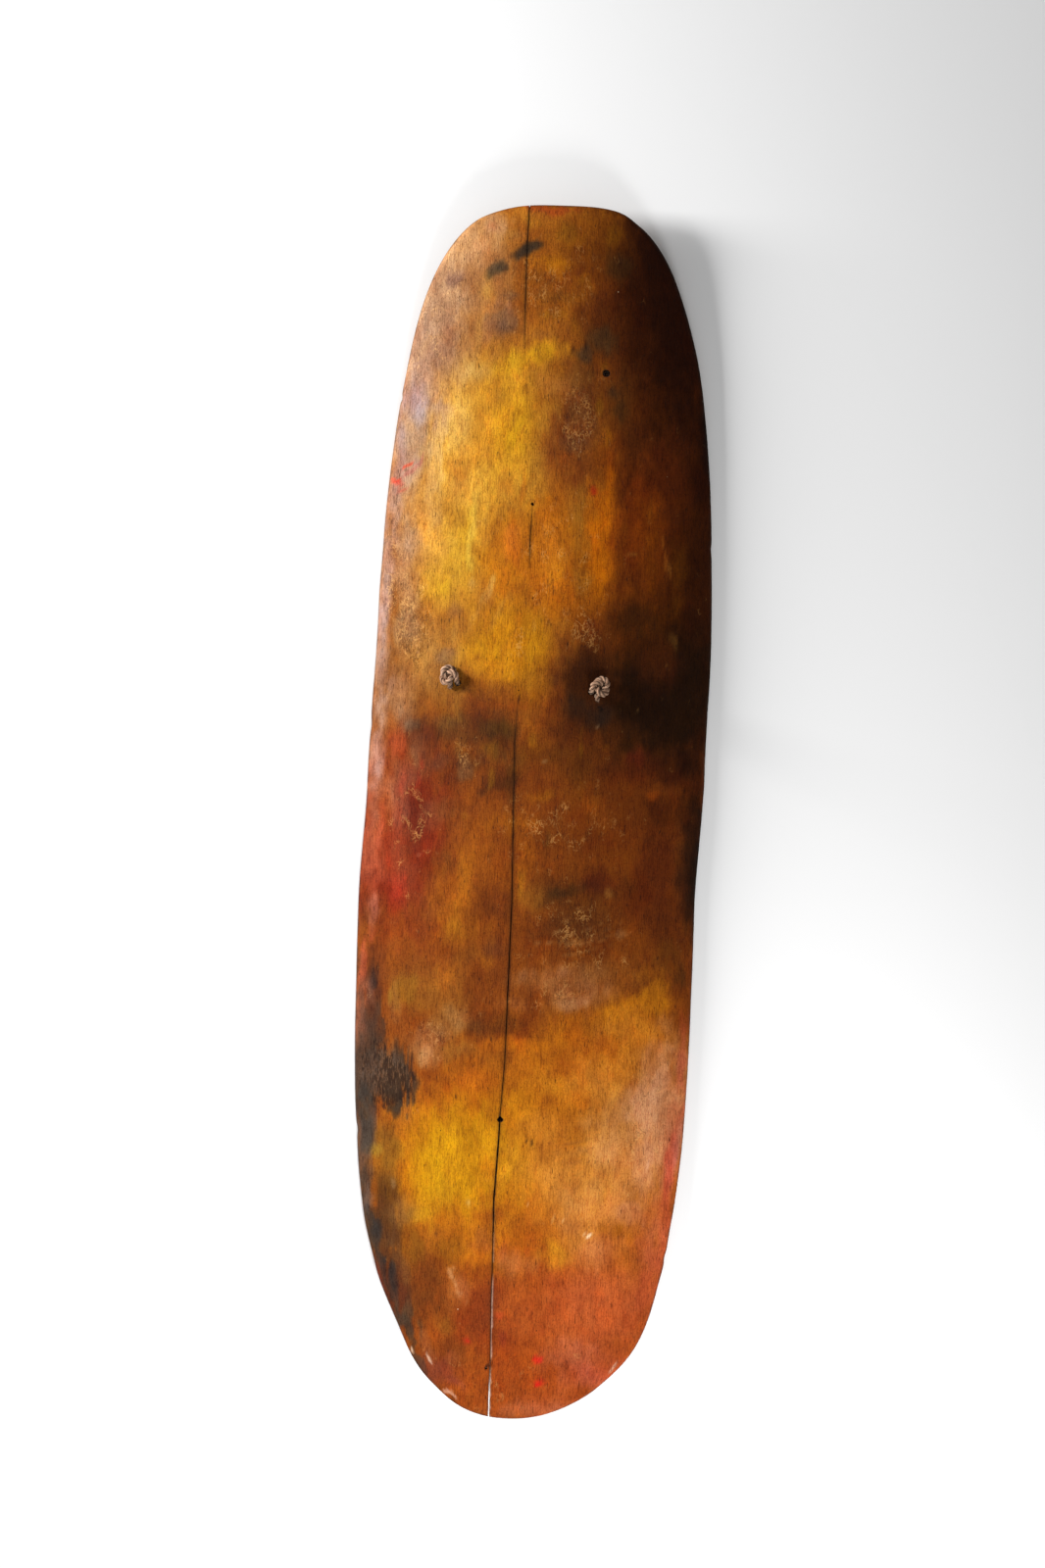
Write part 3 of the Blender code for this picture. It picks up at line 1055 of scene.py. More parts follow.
# Where dirt has filled the grain of the front: the lighter, the more.
GRIMY_PLACES = painted_face(
    "000000",
    """
-185 -330 90 230 7c7c7c 1 0 0.8
-160 -345 70 120 8c8c8c 1 0 0.8
-195 -480 60 200 6c6c6c 1 6
-165 -600 60 160 606060 1 20
-190 150 50 130 585858
-142 85 50 70 585858
70 545 110 160 484848
60 130 200 160 383838
""",
)

# The unpainted back.
BARE_BACK = painted_face(
    "8c5f38",
    """
-60 300 200 500 7a4d2a 0.7
90 -250 180 700 9a6d42 0.7
-100 -420 160 400 6e4526 0.7 6
60 560 220 200 6b4224 0.7
0 150 260 130 5a3820 0.8
-20 155 150 60 a67a50 0.6
20 -640 260 160 7d5230 0.8
150 100 90 500 6a4326 0.6
-160 60 80 600 5f3b22 0.7
-40 -120 160 260 a3764a 0.5
""",
)


class Mark(Enum):
    """How one kind of mark is drawn."""

    PATCH = "patches where a noise is high"
    THREAD = "broken thin lines along the contours of a noise"
    SPOT = "a dot in some of the cells of a net"


class State(Enum):
    """What a surface's condition attribute tells, one channel each."""

    PLAIN = "Red"
    RUBBED = "Green"
    GRIME_AND_SHADE = "Blue"


@dataclass(frozen=True)
class Layer:
    """One kind of mark over a surface.

    wide and long are its real size in millimetres, long being along the grain. The noise that draws it
    counts from start, and fully from full. height is how far the mark stands up, in millimetres. where adds a
    channel of the surface's condition to that noise. A net's cell holds a spot where its random brightness is
    more than 1 - share.
    """

    kind: Mark
    code: str
    wide: float
    long: float
    start: float
    full: float
    strength: float
    height: float = 0.0
    where: State | None = None
    blend: str = "MIX"
    detail: float = 3.0
    share: float = 0.0

    def amount(self, tree: bpy.types.NodeTree, place: Any, state: Any) -> Any:
        """Draws the mark.

        Args:
            tree: The material's node tree.
            place: Socket with the place on the surface, in metres.
            state: The node that splits the surface's condition, or None.

        Returns:
            Socket with how much of the mark there is, from 0 to its strength.
        """
        size = (1000 / self.wide, 1000 / self.long, 1000 / self.wide)
        shift = (7 * self.wide, 3 * self.long, self.strength)
        net = add_node(tree, "Mapping", {"Scale": size, "Location": shift}, {"Vector": place}).outputs[0]
        limits = {"From Min": self.start, "From Max": self.full, "To Max": self.strength}
        limits["interpolation_type"] = "SMOOTHSTEP"
        plus, times = {"operation": "ADD"}, {"operation": "MULTIPLY"}
        if self.kind is Mark.SPOT:
            cells = add_node(tree, "TexVoronoi", {"Scale": 1.0}, {"Vector": net})
            dot = add_node(tree, "MapRange", limits, {0: cells.outputs["Distance"]}).outputs[0]
            some = {"operation": "GREATER_THAN", 1: 1 - self.share}
            kept = add_node(tree, "Math", some, {0: cells.outputs["Color"]}).outputs[0]
            return add_node(tree, "Math", times, {0: dot, 1: kept}).outputs[0]
        drawing = {"Scale": 1.0, "Detail": self.detail, "Roughness": 0.62}
        value = add_node(tree, "TexNoise", drawing, {"Vector": net}).outputs[0]
        worn = state.outputs[self.where.value] if self.where else None
        if self.kind is Mark.THREAD:
            away = add_node(tree, "Math", {"operation": "SUBTRACT", 1: 0.5}, {0: value}).outputs[0]
            away = add_node(tree, "Math", {"operation": "ABSOLUTE"}, {0: away}).outputs[0]
            line = add_node(tree, "MapRange", limits, {0: away}).outputs[0]
            gaps = add_node(tree, "TexNoise", {"Scale": 0.5, "Detail": 1.0}, {"Vector": net}).outputs[0]
            if worn:
                gaps = add_node(tree, "Math", plus, {0: gaps, 1: worn}).outputs[0]
            kept = add_node(tree, "MapRange", {"From Min": 0.76, "From Max": 0.96}, {0: gaps}).outputs[0]
            return add_node(tree, "Math", times, {0: line, 1: kept}).outputs[0]
        if worn:
            value = add_node(tree, "Math", plus, {0: value, 1: worn}).outputs[0]
        return add_node(tree, "MapRange", limits, {0: value}).outputs[0]


@dataclass(frozen=True)
class Finish:
    """A surface: its colour, the marks over it and its polish."""

    name: str
    code: str
    layers: tuple[Layer, ...]
    roughness: tuple[float, float]
    specular: float
    waver: float = 3 * MM
    along: str = ""
    attributes: tuple[str, str] | None = None

    def material(self) -> bpy.types.Material:
        """Builds the surface's material.

        Returns:
            A node material, whose patterns lie along the grain or along the map that along names.
        """
        material = bpy.data.materials.new(self.name)
        material.use_nodes = True
        tree = material.node_tree
        shader = tree.nodes["Principled BSDF"]
        shader.inputs["Specular IOR Level"].default_value = self.specular
        if self.along:
            place = add_node(tree, "UVMap", {"uv_map": self.along}, {}).outputs[0]
        else:
            place = add_node(tree, "TexCoord", {}, {}).outputs["Object"]
        slow = add_node(tree, "TexNoise", {"Scale": 9.0, "Detail": 2.0}, {"Vector": place}).outputs["Color"]
        bend = {"operation": "MULTIPLY_ADD", 1: (2 * self.waver, 0, 0)}
        place = add_node(tree, "VectorMath", bend, {0: slow, 2: place}).outputs[0]
        colour, state = None, None
        if self.attributes:
            named = [add_node(tree, "Attribute", {"attribute_name": name}, {}) for name in self.attributes]
            colour, condition = (node.outputs["Color"] for node in named)
            state = add_node(tree, "SeparateColor", {}, {0: condition})
        height = None
        for layer in self.layers:
            amount = layer.amount(tree, place, state)
            mix = {"data_type": "RGBA", "blend_type": layer.blend, 7: (*linear(coded(layer.code)), 1)}
            links = {0: amount}
            if colour is None:
                mix[6] = (*linear(coded(self.code)), 1)
            else:
                links[6] = colour
            colour = add_node(tree, "Mix", mix, links).outputs[2]
            if layer.height:
                rise = {"operation": "MULTIPLY_ADD", 1: layer.height * MM / layer.strength}
                lower = {2: height} if height else {}
                height = add_node(tree, "Math", rise, {0: amount} | lower).outputs[0]
        tree.links.new(colour, shader.inputs["Base Color"])
        least, most = self.roughness
        polish = {"From Min": 0.3, "From Max": 0.7, "To Min": least, "To Max": most}
        fine = add_node(tree, "TexNoise", {"Scale": 60.0, "Detail": 4.0}, {"Vector": place}).outputs[0]
        tree.links.new(add_node(tree, "MapRange", polish, {0: fine}).outputs[0], shader.inputs["Roughness"])
        if height:
            bump = add_node(tree, "Bump", {"Strength": 1.0, "Distance": 1.0}, {"Height": height}).outputs[0]
            tree.links.new(bump, shader.inputs["Normal"])
        return material


# Earth paints rubbed by hand into hewn softwood: fine grain, pits and scuffs break the colour everywhere,
# dirt fills the grain where the rim was handled, and nothing but use ever polished it, so it stays dull. The
# grain and the pits are drawn a millimetre wide or more, as coarse as they need to be to show.
RUBBED_PAINT = Finish(
    name="rubbed earth paint on hewn softwood",
    code="8a4a14",
    layers=(
        Layer(Mark.PATCH, "aa6c3f", 44, 60, 0.48, 0.72, 0.3, 0.0, None, "OVERLAY", 6),
        Layer(Mark.PATCH, "ffdf9a", 30, 46, 0.52, 0.74, 0.2, 0.0, None, "OVERLAY", 6),
        Layer(Mark.PATCH, "7a4a2c", 8, 15, 0.5, 0.66, 0.22, -0.14, None, "OVERLAY", 6),
        Layer(Mark.PATCH, "e8ddd0", 7, 13, 0.5, 0.68, 0.2, 0.16, None, "OVERLAY", 6),
        Layer(Mark.PATCH, "5a3020", 1.1, 15, 0.5, 0.62, 0.4, -0.09, None, "OVERLAY", 3),
        Layer(Mark.PATCH, "5a3424", 1.3, 2.6, 0.52, 0.63, 0.36, -0.08, None, "OVERLAY", 2),
        Layer(Mark.PATCH, "e8ddd0", 1.2, 3.2, 0.54, 0.65, 0.34, 0.08, None, "OVERLAY", 2),
        Layer(Mark.PATCH, "1d0d06", 1.6, 12, 0.7, 0.75, 0.7, -0.3, None, "MIX", 1),
        Layer(Mark.PATCH, "5a3424", 1.5, 5, 0.83, 0.95, 0.46, -0.22, State.RUBBED, "OVERLAY", 4),
        Layer(Mark.PATCH, "f2e6d8", 1.5, 5, 0.84, 0.96, 0.42, 0.26, State.RUBBED, "OVERLAY", 4),
        Layer(Mark.THREAD, "b88448", 6, 9, 0.05, 0.014, 0.46, 0.2, State.RUBBED, "SCREEN", 2),
        Layer(Mark.THREAD, "2a1408", 5, 8, 0.05, 0.014, 0.45, -0.16, State.RUBBED, "MIX", 2),
        Layer(Mark.SPOT, "e0c49c", 14, 15, 0.06, 0.04, 0.55, share=0.07),
        Layer(Mark.SPOT, "160a05", 9, 11, 0.12, 0.07, 0.8, -0.3, share=0.12),
        Layer(Mark.PATCH, "c9a07c", 2.2, 7, 0.97, 1.15, 0.45, -0.06, State.RUBBED, "MIX", 5),
        Layer(Mark.PATCH, "3a2010", 2.0, 6, 0.95, 1.12, 0.5, -0.12, State.RUBBED, "MIX", 4),
        Layer(Mark.PATCH, "1c120c", 2.0, 9, 0.96, 1.06, 0.75, -0.14, State.GRIME_AND_SHADE, "MIX", 4),
        Layer(Mark.PATCH, "e0c8ac", 1.6, 7, 0.93, 1.04, 0.5, 0.2, State.GRIME_AND_SHADE, "OVERLAY", 4),
        Layer(Mark.PATCH, "4b2f1a", 2.4, 110, 1.5, 1.75, 0.55, -0.12, State.PLAIN, "MIX", 3),
        Layer(Mark.PATCH, "c9a06c", 3.4, 70, 1.52, 1.8, 0.4, 0.08, State.PLAIN, "MIX", 3),
    ),
    roughness=(0.62, 0.8),
    specular=0.06,
    attributes=("paint", "condition"),
)

# Softwood split open by drying, coloured dark brown inside as painted shade in the cracks and holes, with a
# few paler flecks of grain.
SHADED_SPLIT_WOOD = Finish(
    name="split softwood in painted shade",
    code="3a2211",
    layers=(
        Layer(Mark.PATCH, "2c1708", 5, 30, 0.4, 0.65, 0.8, -0.1, None, "MIX", 4),
        Layer(Mark.PATCH, "8c6238", 1.6, 12, 0.6, 0.75, 0.3, 0.08, None, "MIX", 3),
    ),
    roughness=(0.6, 0.8),
    specular=0.15,
)

# Plant fibre twisted into three strands: light dry fibres, with the lay's grooves darkened as painted shade.
# The fibres are drawn 0.6 mm wide or more, as coarse as they need to be to show.
LAID_ROPE = Finish(
    name="hand-laid plant fibre rope",
    code="a8845f",
    layers=(
        Layer(Mark.PATCH, "8a5c40", 4, 9, 0.48, 0.68, 0.4, 0.0, None, "MIX", 4),
        Layer(Mark.PATCH, "3a2014", 0.7, 5, 0.52, 0.64, 0.6, -0.12, None, "MIX", 2),
        Layer(Mark.PATCH, "ecd0b4", 0.6, 6, 0.53, 0.66, 0.5, 0.1, None, "MIX", 2),
        # Painted shade in the lay's grooves.
        Layer(Mark.PATCH, "2a180e", 0.8, 5, 0.8, 1.3, 0.75, -0.1, State.GRIME_AND_SHADE, "MIX", 2),
    ),
    roughness=(0.75, 0.95),
    specular=0.15,
    waver=0.3 * MM,
    along="lay",
    attributes=("paint", "condition"),
)


@dataclass(frozen=True)
class Nick:
    """A small bite out of the rim. side is -1 for left and 1 for right."""

    side: int
    y: float
    depth: float
    reach: float


@dataclass(frozen=True)
class CrackStation:
    """The drying crack at one place: half its width there, and its depth, or None where it goes through."""

    x: float
    y: float
    half: float
    depth: float | None


@dataclass(frozen=True)
class Bore:
    """A small hole in the board. depth is None where it goes through, and flare widens its worn mouth."""

    name: str
    x: float
    y: float
    radius: float
    depth: float | None = None
    flare: float = 0.0
    rough: float = 0.06


@dataclass
class ShieldBoard:
    """The board: its mesh, its cracks and holes, and its finish."""

    shape: BoardShape
    bores: tuple[Bore, ...]
    cells_across: int = 176
    cells_along: int = 360
    land_width: float = 0.0075
    front_steps: int = 6
    back_steps: int = 3
    rim_trim: float = 0.4 * MM
    rim_waver: float = 0.35 * MM
    cutter_foot: float = -0.01
    cutter_head: float = 0.02
    front_ripples: tuple[Ripple, ...] = (
        Ripple(0.45, 0.09, 0.21, 11),
        Ripple(0.2, 0.035, 0.11, 12),
        Ripple(0.07, 0.0052, 0.085, 15),
        Ripple(0.1, 0.0125, 0.17, 16),
    )
    nicks: tuple[Nick, ...] = (
        Nick(-1, 0.508, 1.6 * MM, 4 * MM),
        Nick(-1, 0.101, 1.2 * MM, 9 * MM),
        Nick(1, 0.333, 0.9 * MM, 6 * MM),
        Nick(-1, -0.402, 1.1 * MM, 7 * MM),
        Nick(1, -0.548, 1.2 * MM, 6 * MM),
        Nick(-1, -0.664, -2.0 * MM, 28 * MM),
        Nick(1, -0.682, -2.0 * MM, 26 * MM),
    )
    lower_crack: tuple[CrackStation, ...] = (
        CrackStation(-0.032, -0.7515, 0.6 * MM, None),
        CrackStation(-0.032, -0.682, 0.65 * MM, 7 * MM),
        CrackStation(-0.0335, -0.6, 0.75 * MM, 7 * MM),
        CrackStation(-0.034, -0.52, 0.85 * MM, 7 * MM),
        CrackStation(-0.0345, -0.475, 1.05 * MM, None),
        CrackStation(-0.032, -0.42, 0.95 * MM, None),
        CrackStation(-0.0305, -0.381, 0.9 * MM, None),
        CrackStation(-0.0305, -0.372, 0.9 * MM, 10 * MM),
        CrackStation(-0.027, -0.31, 0.95 * MM, 9 * MM),
        CrackStation(-0.026, -0.2, 1.15 * MM, 9 * MM),
        CrackStation(-0.025, -0.111, 1.05 * MM, 8 * MM),
        CrackStation(-0.0265, -0.03, 0.75 * MM, 7 * MM),
        CrackStation(-0.0275, 0.03, 0.5 * MM, 6 * MM),
        CrackStation(-0.0285, 0.085, 0.38 * MM, 4 * MM),
        CrackStation(-0.0265, 0.128, 0.2 * MM, 3 * MM),
    )
    upper_crack: tuple[CrackStation, ...] = (
        CrackStation(-0.0175, 0.3, 0.2 * MM, 2 * MM),
        CrackStation(-0.018, 0.335, 0.85 * MM, 5 * MM),
        CrackStation(-0.017, 0.36, 0.5 * MM, 4 * MM),
        CrackStation(-0.017, 0.39, 0.26 * MM, 3 * MM),
        CrackStation(-0.0185, 0.446, 0.18 * MM, 2 * MM),
        CrackStation(-0.029, 0.519, 0.2 * MM, 2 * MM),
        CrackStation(-0.0335, 0.585, 0.26 * MM, 4 * MM),
        CrackStation(-0.034, 0.64, 0.5 * MM, 7 * MM),
        CrackStation(-0.034, 0.7, 0.7 * MM, 8 * MM),
        CrackStation(-0.033, 0.7515, 0.9 * MM, 9 * MM),
    )

    def outline_runs(self, across: int, along: int) -> list[Array]:
        """The outline as runs of points.

        Args:
            across: Cells on each end.
            along: Cells on each side.

        Returns:
            Lower end, right side, upper end and left side, each from low to high.
        """
        shape = self.shape
        runs = []
        for side, corner in ((-1, -shape.lower_corner), (1, shape.upper_corner)):
            offset = np.linspace(-1, 1, across + 1) * float(shape.width_at(corner))
            y = shape.end_height(offset, side)
            runs.append(np.stack([shape.middle(y) + offset, y], 1))
        y = np.linspace(-shape.lower_corner, shape.upper_corner, along + 1)
        middle, width = shape.middle(y), shape.width_at(y)
        left = np.stack([middle - width, y], 1)
        right = np.stack([middle + width, y], 1)
        return [runs[0], right, runs[1], left]

    @staticmethod
    def loop_of(runs: list[Any]) -> Any:
        """The four runs joined into one loop, counter-clockwise from the lower left."""
        lower, right, upper, left = runs
        return np.concatenate([lower[:-1], right[:-1], upper[:0:-1], left[:0:-1]])

    @staticmethod
    def inset(loop: Array, distance: Array | float) -> Array:
        """Moves a loop inwards along its own normals.

        Args:
            loop: Its points, counter-clockwise.
            distance: How far, for all of them or for each.

        Returns:
            The moved loop.
        """
        direction = np.roll(loop, -1, 0) - np.roll(loop, 1, 0)
        direction /= np.linalg.norm(direction, axis=1)[:, None]
        inward = np.stack([-direction[:, 1], direction[:, 0]], 1)
        return loop + inward * np.broadcast_to(distance, len(loop))[:, None]

    def trimmed_outline(self, across: int, along: int) -> Array:
        """The outline with a hand tool's slight waver and the rim's nicks, all inside the true one.

        Args:
            across: Cells on each end.
            along: Cells on each side.

        Returns:
            A closed loop of points, counter-clockwise from the lower left.
        """
        loop = self.loop_of(self.outline_runs(across, along))
        x, y = loop.T
        waver = 1 + lattice_noise(x / 0.05 + 7, y / 0.045, 3)
        trim = self.rim_trim + self.rim_waver * waver
        for nick in self.nicks:
            near = np.exp(-(((y - nick.y) / nick.reach) ** 2)) * (np.sign(x) == nick.side)
            trim = trim + nick.depth * near
        return self.inset(loop, trim)

    @staticmethod
    def patch(loop: Array, across: int, along: int) -> Array:
        """A grid of points that fills a loop, blended from its four sides.

        Args:
            loop: The closed border, counter-clockwise from the lower left.
            across: Cells on each end.
            along: Cells on each side.

        Returns:
            Rows of points, lowest first.
        """
        ring = np.concatenate([loop, loop[:1]])
        lower = ring[: across + 1][None]
        right = ring[across : across + along + 1][:, None]
        upper = ring[across + along : 2 * across + along + 1][::-1][None]
        left = ring[2 * across + along :][::-1][:, None]
        u = np.linspace(0, 1, across + 1)[None, :, None]
        v = np.linspace(0, 1, along + 1)[:, None, None]
        sides = lower * (1 - v) + upper * v + left * (1 - u) + right * u
        low_corners = lower[:, :1] * (1 - u) + lower[:, -1:] * u
        high_corners = upper[:, :1] * (1 - u) + upper[:, -1:] * u
        return sides - low_corners * (1 - v) - high_corners * v

    def front_relief(self, x: Array, y: Array) -> Array:
        """What the carver left on the front: slow unevenness, worn tool scoops and raised grain.

        Args:
            x: Places across the board.
            y: Places along it.

        Returns:
            How far it stands above the plain face at each place.
        """
        tool = 0.28 * scoops(x / 0.031 + 0.3 * lattice_noise(x / 0.1, y / 0.1, 13), y / 0.075, 14)
        calm = smooth_step(1 - self.shape.nearness(x, y), 0.0, 0.2)
        crack_side = x - self.crack_line(y)
        lip = 0.35 * np.exp(-np.abs(crack_side) / 0.006) * smooth_step(-y, 0.1, 0.5) * np.sign(crack_side)
        return (rippled(self.front_ripples, x, y) + tool - 0.3 + lip) * MM * calm

    def back_relief(self, x: Array, y: Array) -> Array:
        """What the adze left on the back: plain scoops in rows along the grain.

        Args:
            x: Places across the board.
            y: Places along it.

        Returns:
            How far it stands below the plain face at each place.
        """
        tool = 1.0 * scoops(x / 0.034 + 0.2 * lattice_noise(x / 0.09, y / 0.12, 21), y / 0.062, 22)
        grain = 0.14 * lattice_noise(x / 0.0085, y / 0.12, 23)
        calm = smooth_step(1 - self.shape.nearness(x, y), 0.02, 0.25)
        return (tool + grain - 0.2) * MM * calm

    def front_height(self, x: Array, y: Array) -> Array:
        """Height of the finished front face."""
        return self.shape.front(x, y) + self.front_relief(x, y)

    def back_height(self, x: Array, y: Array) -> Array:
        """Height of the finished back face, planed flat where the board lies."""
        return np.maximum(self.shape.back(x, y) - self.back_relief(x, y), 0.0)

    def crack_line(self, y: Array) -> Array:
        """Sideways place of the crack, from the lower end to the upper one."""
        stations = [*self.lower_crack, *self.upper_crack]
        return np.interp(y, [station.y for station in stations], [station.x for station in stations])

    def add_side(
        self, loop: Array, across: int, along: int, height: Height, first: int
    ) -> tuple[Array, Array, Array]:
        """Points and faces of one face of the board.

        Args:
            loop: Its border.
            across: Cells on each end.
            along: Cells on each side.
            height: The face's height at a place.
            first: Number of its first vertex.

        Returns:
            Points, quads, and the numbers of the border's vertices.
        """
        grid = self.patch(loop, across, along)
        points = np.concatenate([grid, height(grid[..., 0], grid[..., 1])[..., None]], 2).reshape(-1, 3)
        number = first + np.arange(len(points)).reshape(along + 1, across + 1)
        corners = (number[:-1, :-1], number[:-1, 1:], number[1:, 1:], number[1:, :-1])
        quads = np.stack(corners, -1).reshape(-1, 4)
        border = self.loop_of([number[0], number[:, -1], number[-1], number[:, 0]])
        return points, quads, border

    def rim_rings(self, outline: Array) -> list[Array]:
        """Rings of points over the rim, from the front face's border down to the back's.

        Args:
            outline: The board's outline.

        Returns:
            The rings, one point to a row.
        """
        rings = []
        shape = self.shape
        for turn in np.linspace(math.pi / 2, 0, self.front_steps + 1):
            ring = self.inset(outline, shape.front_rounding * (1 - math.cos(turn)))
            fall = shape.front_rounding * (1 - math.sin(turn))
            rings.append(np.column_stack([ring, self.front_height(*ring.T) - fall]))
        for turn in np.linspace(0, math.pi / 2, self.back_steps + 1)[1:]:
            ring = self.inset(outline, shape.back_rounding * (1 - math.cos(turn)))
            lift = shape.back_rounding * (1 - math.sin(turn))
            rings.append(np.column_stack([ring, np.maximum(self.back_height(*ring.T) + lift, 0.0)]))
        return rings

    @staticmethod
    def band(first: Array, second: Array) -> Array:
        """Quads between two rings of vertex numbers."""
        return np.stack([first, np.roll(first, -1), np.roll(second, -1), second], 1)

    @staticmethod
    def halving_band(fine: Array, coarse: Array) -> Faces:
        """Triangles between a ring and one with half as many vertices.

        Args:
            fine: The vertex numbers of the one.
            coarse: Those of the one with half as many.

        Returns:
            The triangles.
        """
        faces = []
        ahead = np.roll(coarse, -1)
        beyond = np.roll(fine, -2)[::2]
        for start, middle, end, here, there in zip(fine[::2], fine[1::2], beyond, coarse, ahead):
            faces += [(start, middle, here), (middle, there, here), (middle, end, there)]
        return faces

    def whole_mesh(self) -> bpy.types.Mesh:
        """The board before its cracks and holes are cut.

        Returns:
            A closed mesh whose faces all point out.
        """
        across, along = self.cells_across, self.cells_along
        outline = self.trimmed_outline(across, along)
        inner = self.inset(outline, self.land_width)
        points, quads, border = self.add_side(inner, across, along, self.front_height, 0)
        all_points, faces = [points], [quads]
        count = len(points)
        previous = border
        for ring in self.rim_rings(outline):
            numbers = count + np.arange(len(ring))
            all_points.append(ring)
            faces.append(self.band(previous, numbers))
            previous = numbers
            count += len(ring)
        back = self.add_side(inner[::2], across // 2, along // 2, self.back_height, count)
        all_points.append(back[0])
        faces.append(back[1][:, ::-1])
        mesh = bpy.data.meshes.new("board")
        triangles = self.halving_band(previous, back[2])
        every_face = [tuple(face) for group in faces for face in group.tolist()] + triangles
        mesh.from_pydata(np.concatenate(all_points).tolist(), [], every_face)
        made = bmesh.new()
        made.from_mesh(mesh)
        bmesh.ops.recalc_face_normals(made, faces=made.faces)
        made.to_mesh(mesh)
        made.free()
        return mesh

    def crack_cutter(self, stations: tuple[CrackStation, ...], spacing: float = 0.006) -> bpy.types.Mesh:
        """A thin upright wedge that follows the grain, ragged as split wood is.

        Args:
            stations: The crack from its lower end up.
            spacing: Distance between its rings of points.

        Returns:
            The cutter's mesh.
        """
        places = np.array([station.y for station in stations])
        count = max(2, round((places[-1] - places[0]) / spacing))
        rings = []
        for y in np.linspace(places[0], places[-1], count + 1):
            after = min(int(np.searchsorted(places, y, side="right")), len(stations) - 1)
            low, high = stations[after - 1], stations[after]
            share = (y - low.y) / (high.y - low.y)
            ragged = float(lattice_noise(np.array(y / 0.011), np.array(0.5), 31))
            half = (low.half + (high.half - low.half) * share) * (1 + 0.35 * ragged)
            x = low.x + (high.x - low.x) * share
            x += 0.4 * MM * float(lattice_noise(np.array(y / 0.023), np.array(3.5), 32))
            surface = float(self.shape.front(np.array(x), np.array(np.clip(y, -TIP, TIP))))
            if low.depth is None or high.depth is None:
                bottom, foot = self.cutter_foot, half
            else:
                bottom, foot = surface - low.depth - (high.depth - low.depth) * share, 0.3 * half
            top = surface + self.cutter_head
            corners = ((x - foot, bottom), (x + foot, bottom), (x + half, top), (x - half, top))
            rings.append([(across, y, up) for across, up in corners])
        return self.skinned(rings, "crack")

    @staticmethod
    def skinned(rings: list[list[tuple[float, float, float]]], name: str) -> bpy.types.Mesh:
        """Stretches a closed skin over rings of points.

        Args:
            rings: The rings in their order, all with as many points.
            name: The mesh's name.

        Returns:
            A mesh whose faces all point out.
        """
        made = bmesh.new()
        loops = [[made.verts.new(point) for point in ring] for ring in rings]
        for first, second in zip(loops, loops[1:]):
            for place in range(len(first)):
                after = (place + 1) % len(first)
                made.faces.new((first[place], first[after], second[after], second[place]))
        made.faces.new(loops[0])
        made.faces.new(loops[-1])
        bmesh.ops.recalc_face_normals(made, faces=made.faces)
        mesh = bpy.data.meshes.new(name)
        made.to_mesh(mesh)
        made.free()
        return mesh

    def bore_cutter(self, bore: Bore, sides: int = 28) -> bpy.types.Mesh:
        """A turned cutter for a hole, slightly out of round, with its worn mouth.

        Args:
            bore: The hole.
            sides: Points round it.

        Returns:
            The cutter's mesh.
        """
        surface = float(self.shape.front(np.array(bore.x), np.array(bore.y)))
        bottom = self.cutter_foot if bore.depth is None else surface - bore.depth
        mouth = bore.radius + bore.flare
        profile = (
            (bore.radius, bottom),
            (bore.radius, surface - 1.5 * MM),
            (mouth, surface + 0.3 * MM),
            (mouth, surface + self.cutter_head),
        )
        turns = np.linspace(0, 2 * math.pi, sides, endpoint=False)
        seed = int(abs(bore.x) * 1e4)
        wide = 1 + bore.rough * lattice_noise(1.3 * np.cos(turns) + 5, 1.3 * np.sin(turns) + 5, seed)
        rings = []
        for radius, z in profile:
            reaches = zip(radius * wide, turns)
            ring = [(reach * math.cos(turn), reach * math.sin(turn)) for reach, turn in reaches]
            rings.append([(bore.x + across, bore.y + along, z) for across, along in ring])
        return self.skinned(rings, bore.name)

    def cut(self, board: bpy.types.Object, cutters: list[bpy.types.Mesh], bare: bpy.types.Material) -> None:
        """Cuts all the cutters from the board, and leaves the cut faces in bare wood, dark as painted shade.

        Args:
            board: The board's object, changed in place.
            cutters: Closed meshes.
            bare: Material of the cut faces.
        """
        group = bpy.data.collections.new("cutters")
        bpy.context.scene.collection.children.link(group)
        for mesh in cutters:
            mesh.materials.append(bare)
            group.objects.link(bpy.data.objects.new(mesh.name, mesh))
        boolean = board.modifiers.new("cuts", "BOOLEAN")
        boolean.operation = "DIFFERENCE"
        boolean.solver = "EXACT"
        boolean.operand_type = "COLLECTION"
        boolean.collection = group
        boolean.material_mode = "TRANSFER"
        depsgraph = bpy.context.evaluated_depsgraph_get()
        result = bpy.data.meshes.new_from_object(board.evaluated_get(depsgraph), depsgraph=depsgraph)
        board.modifiers.clear()
        board.data = result
        for cutter in list(group.objects):
            bpy.data.objects.remove(cutter)
        bpy.data.collections.remove(group)

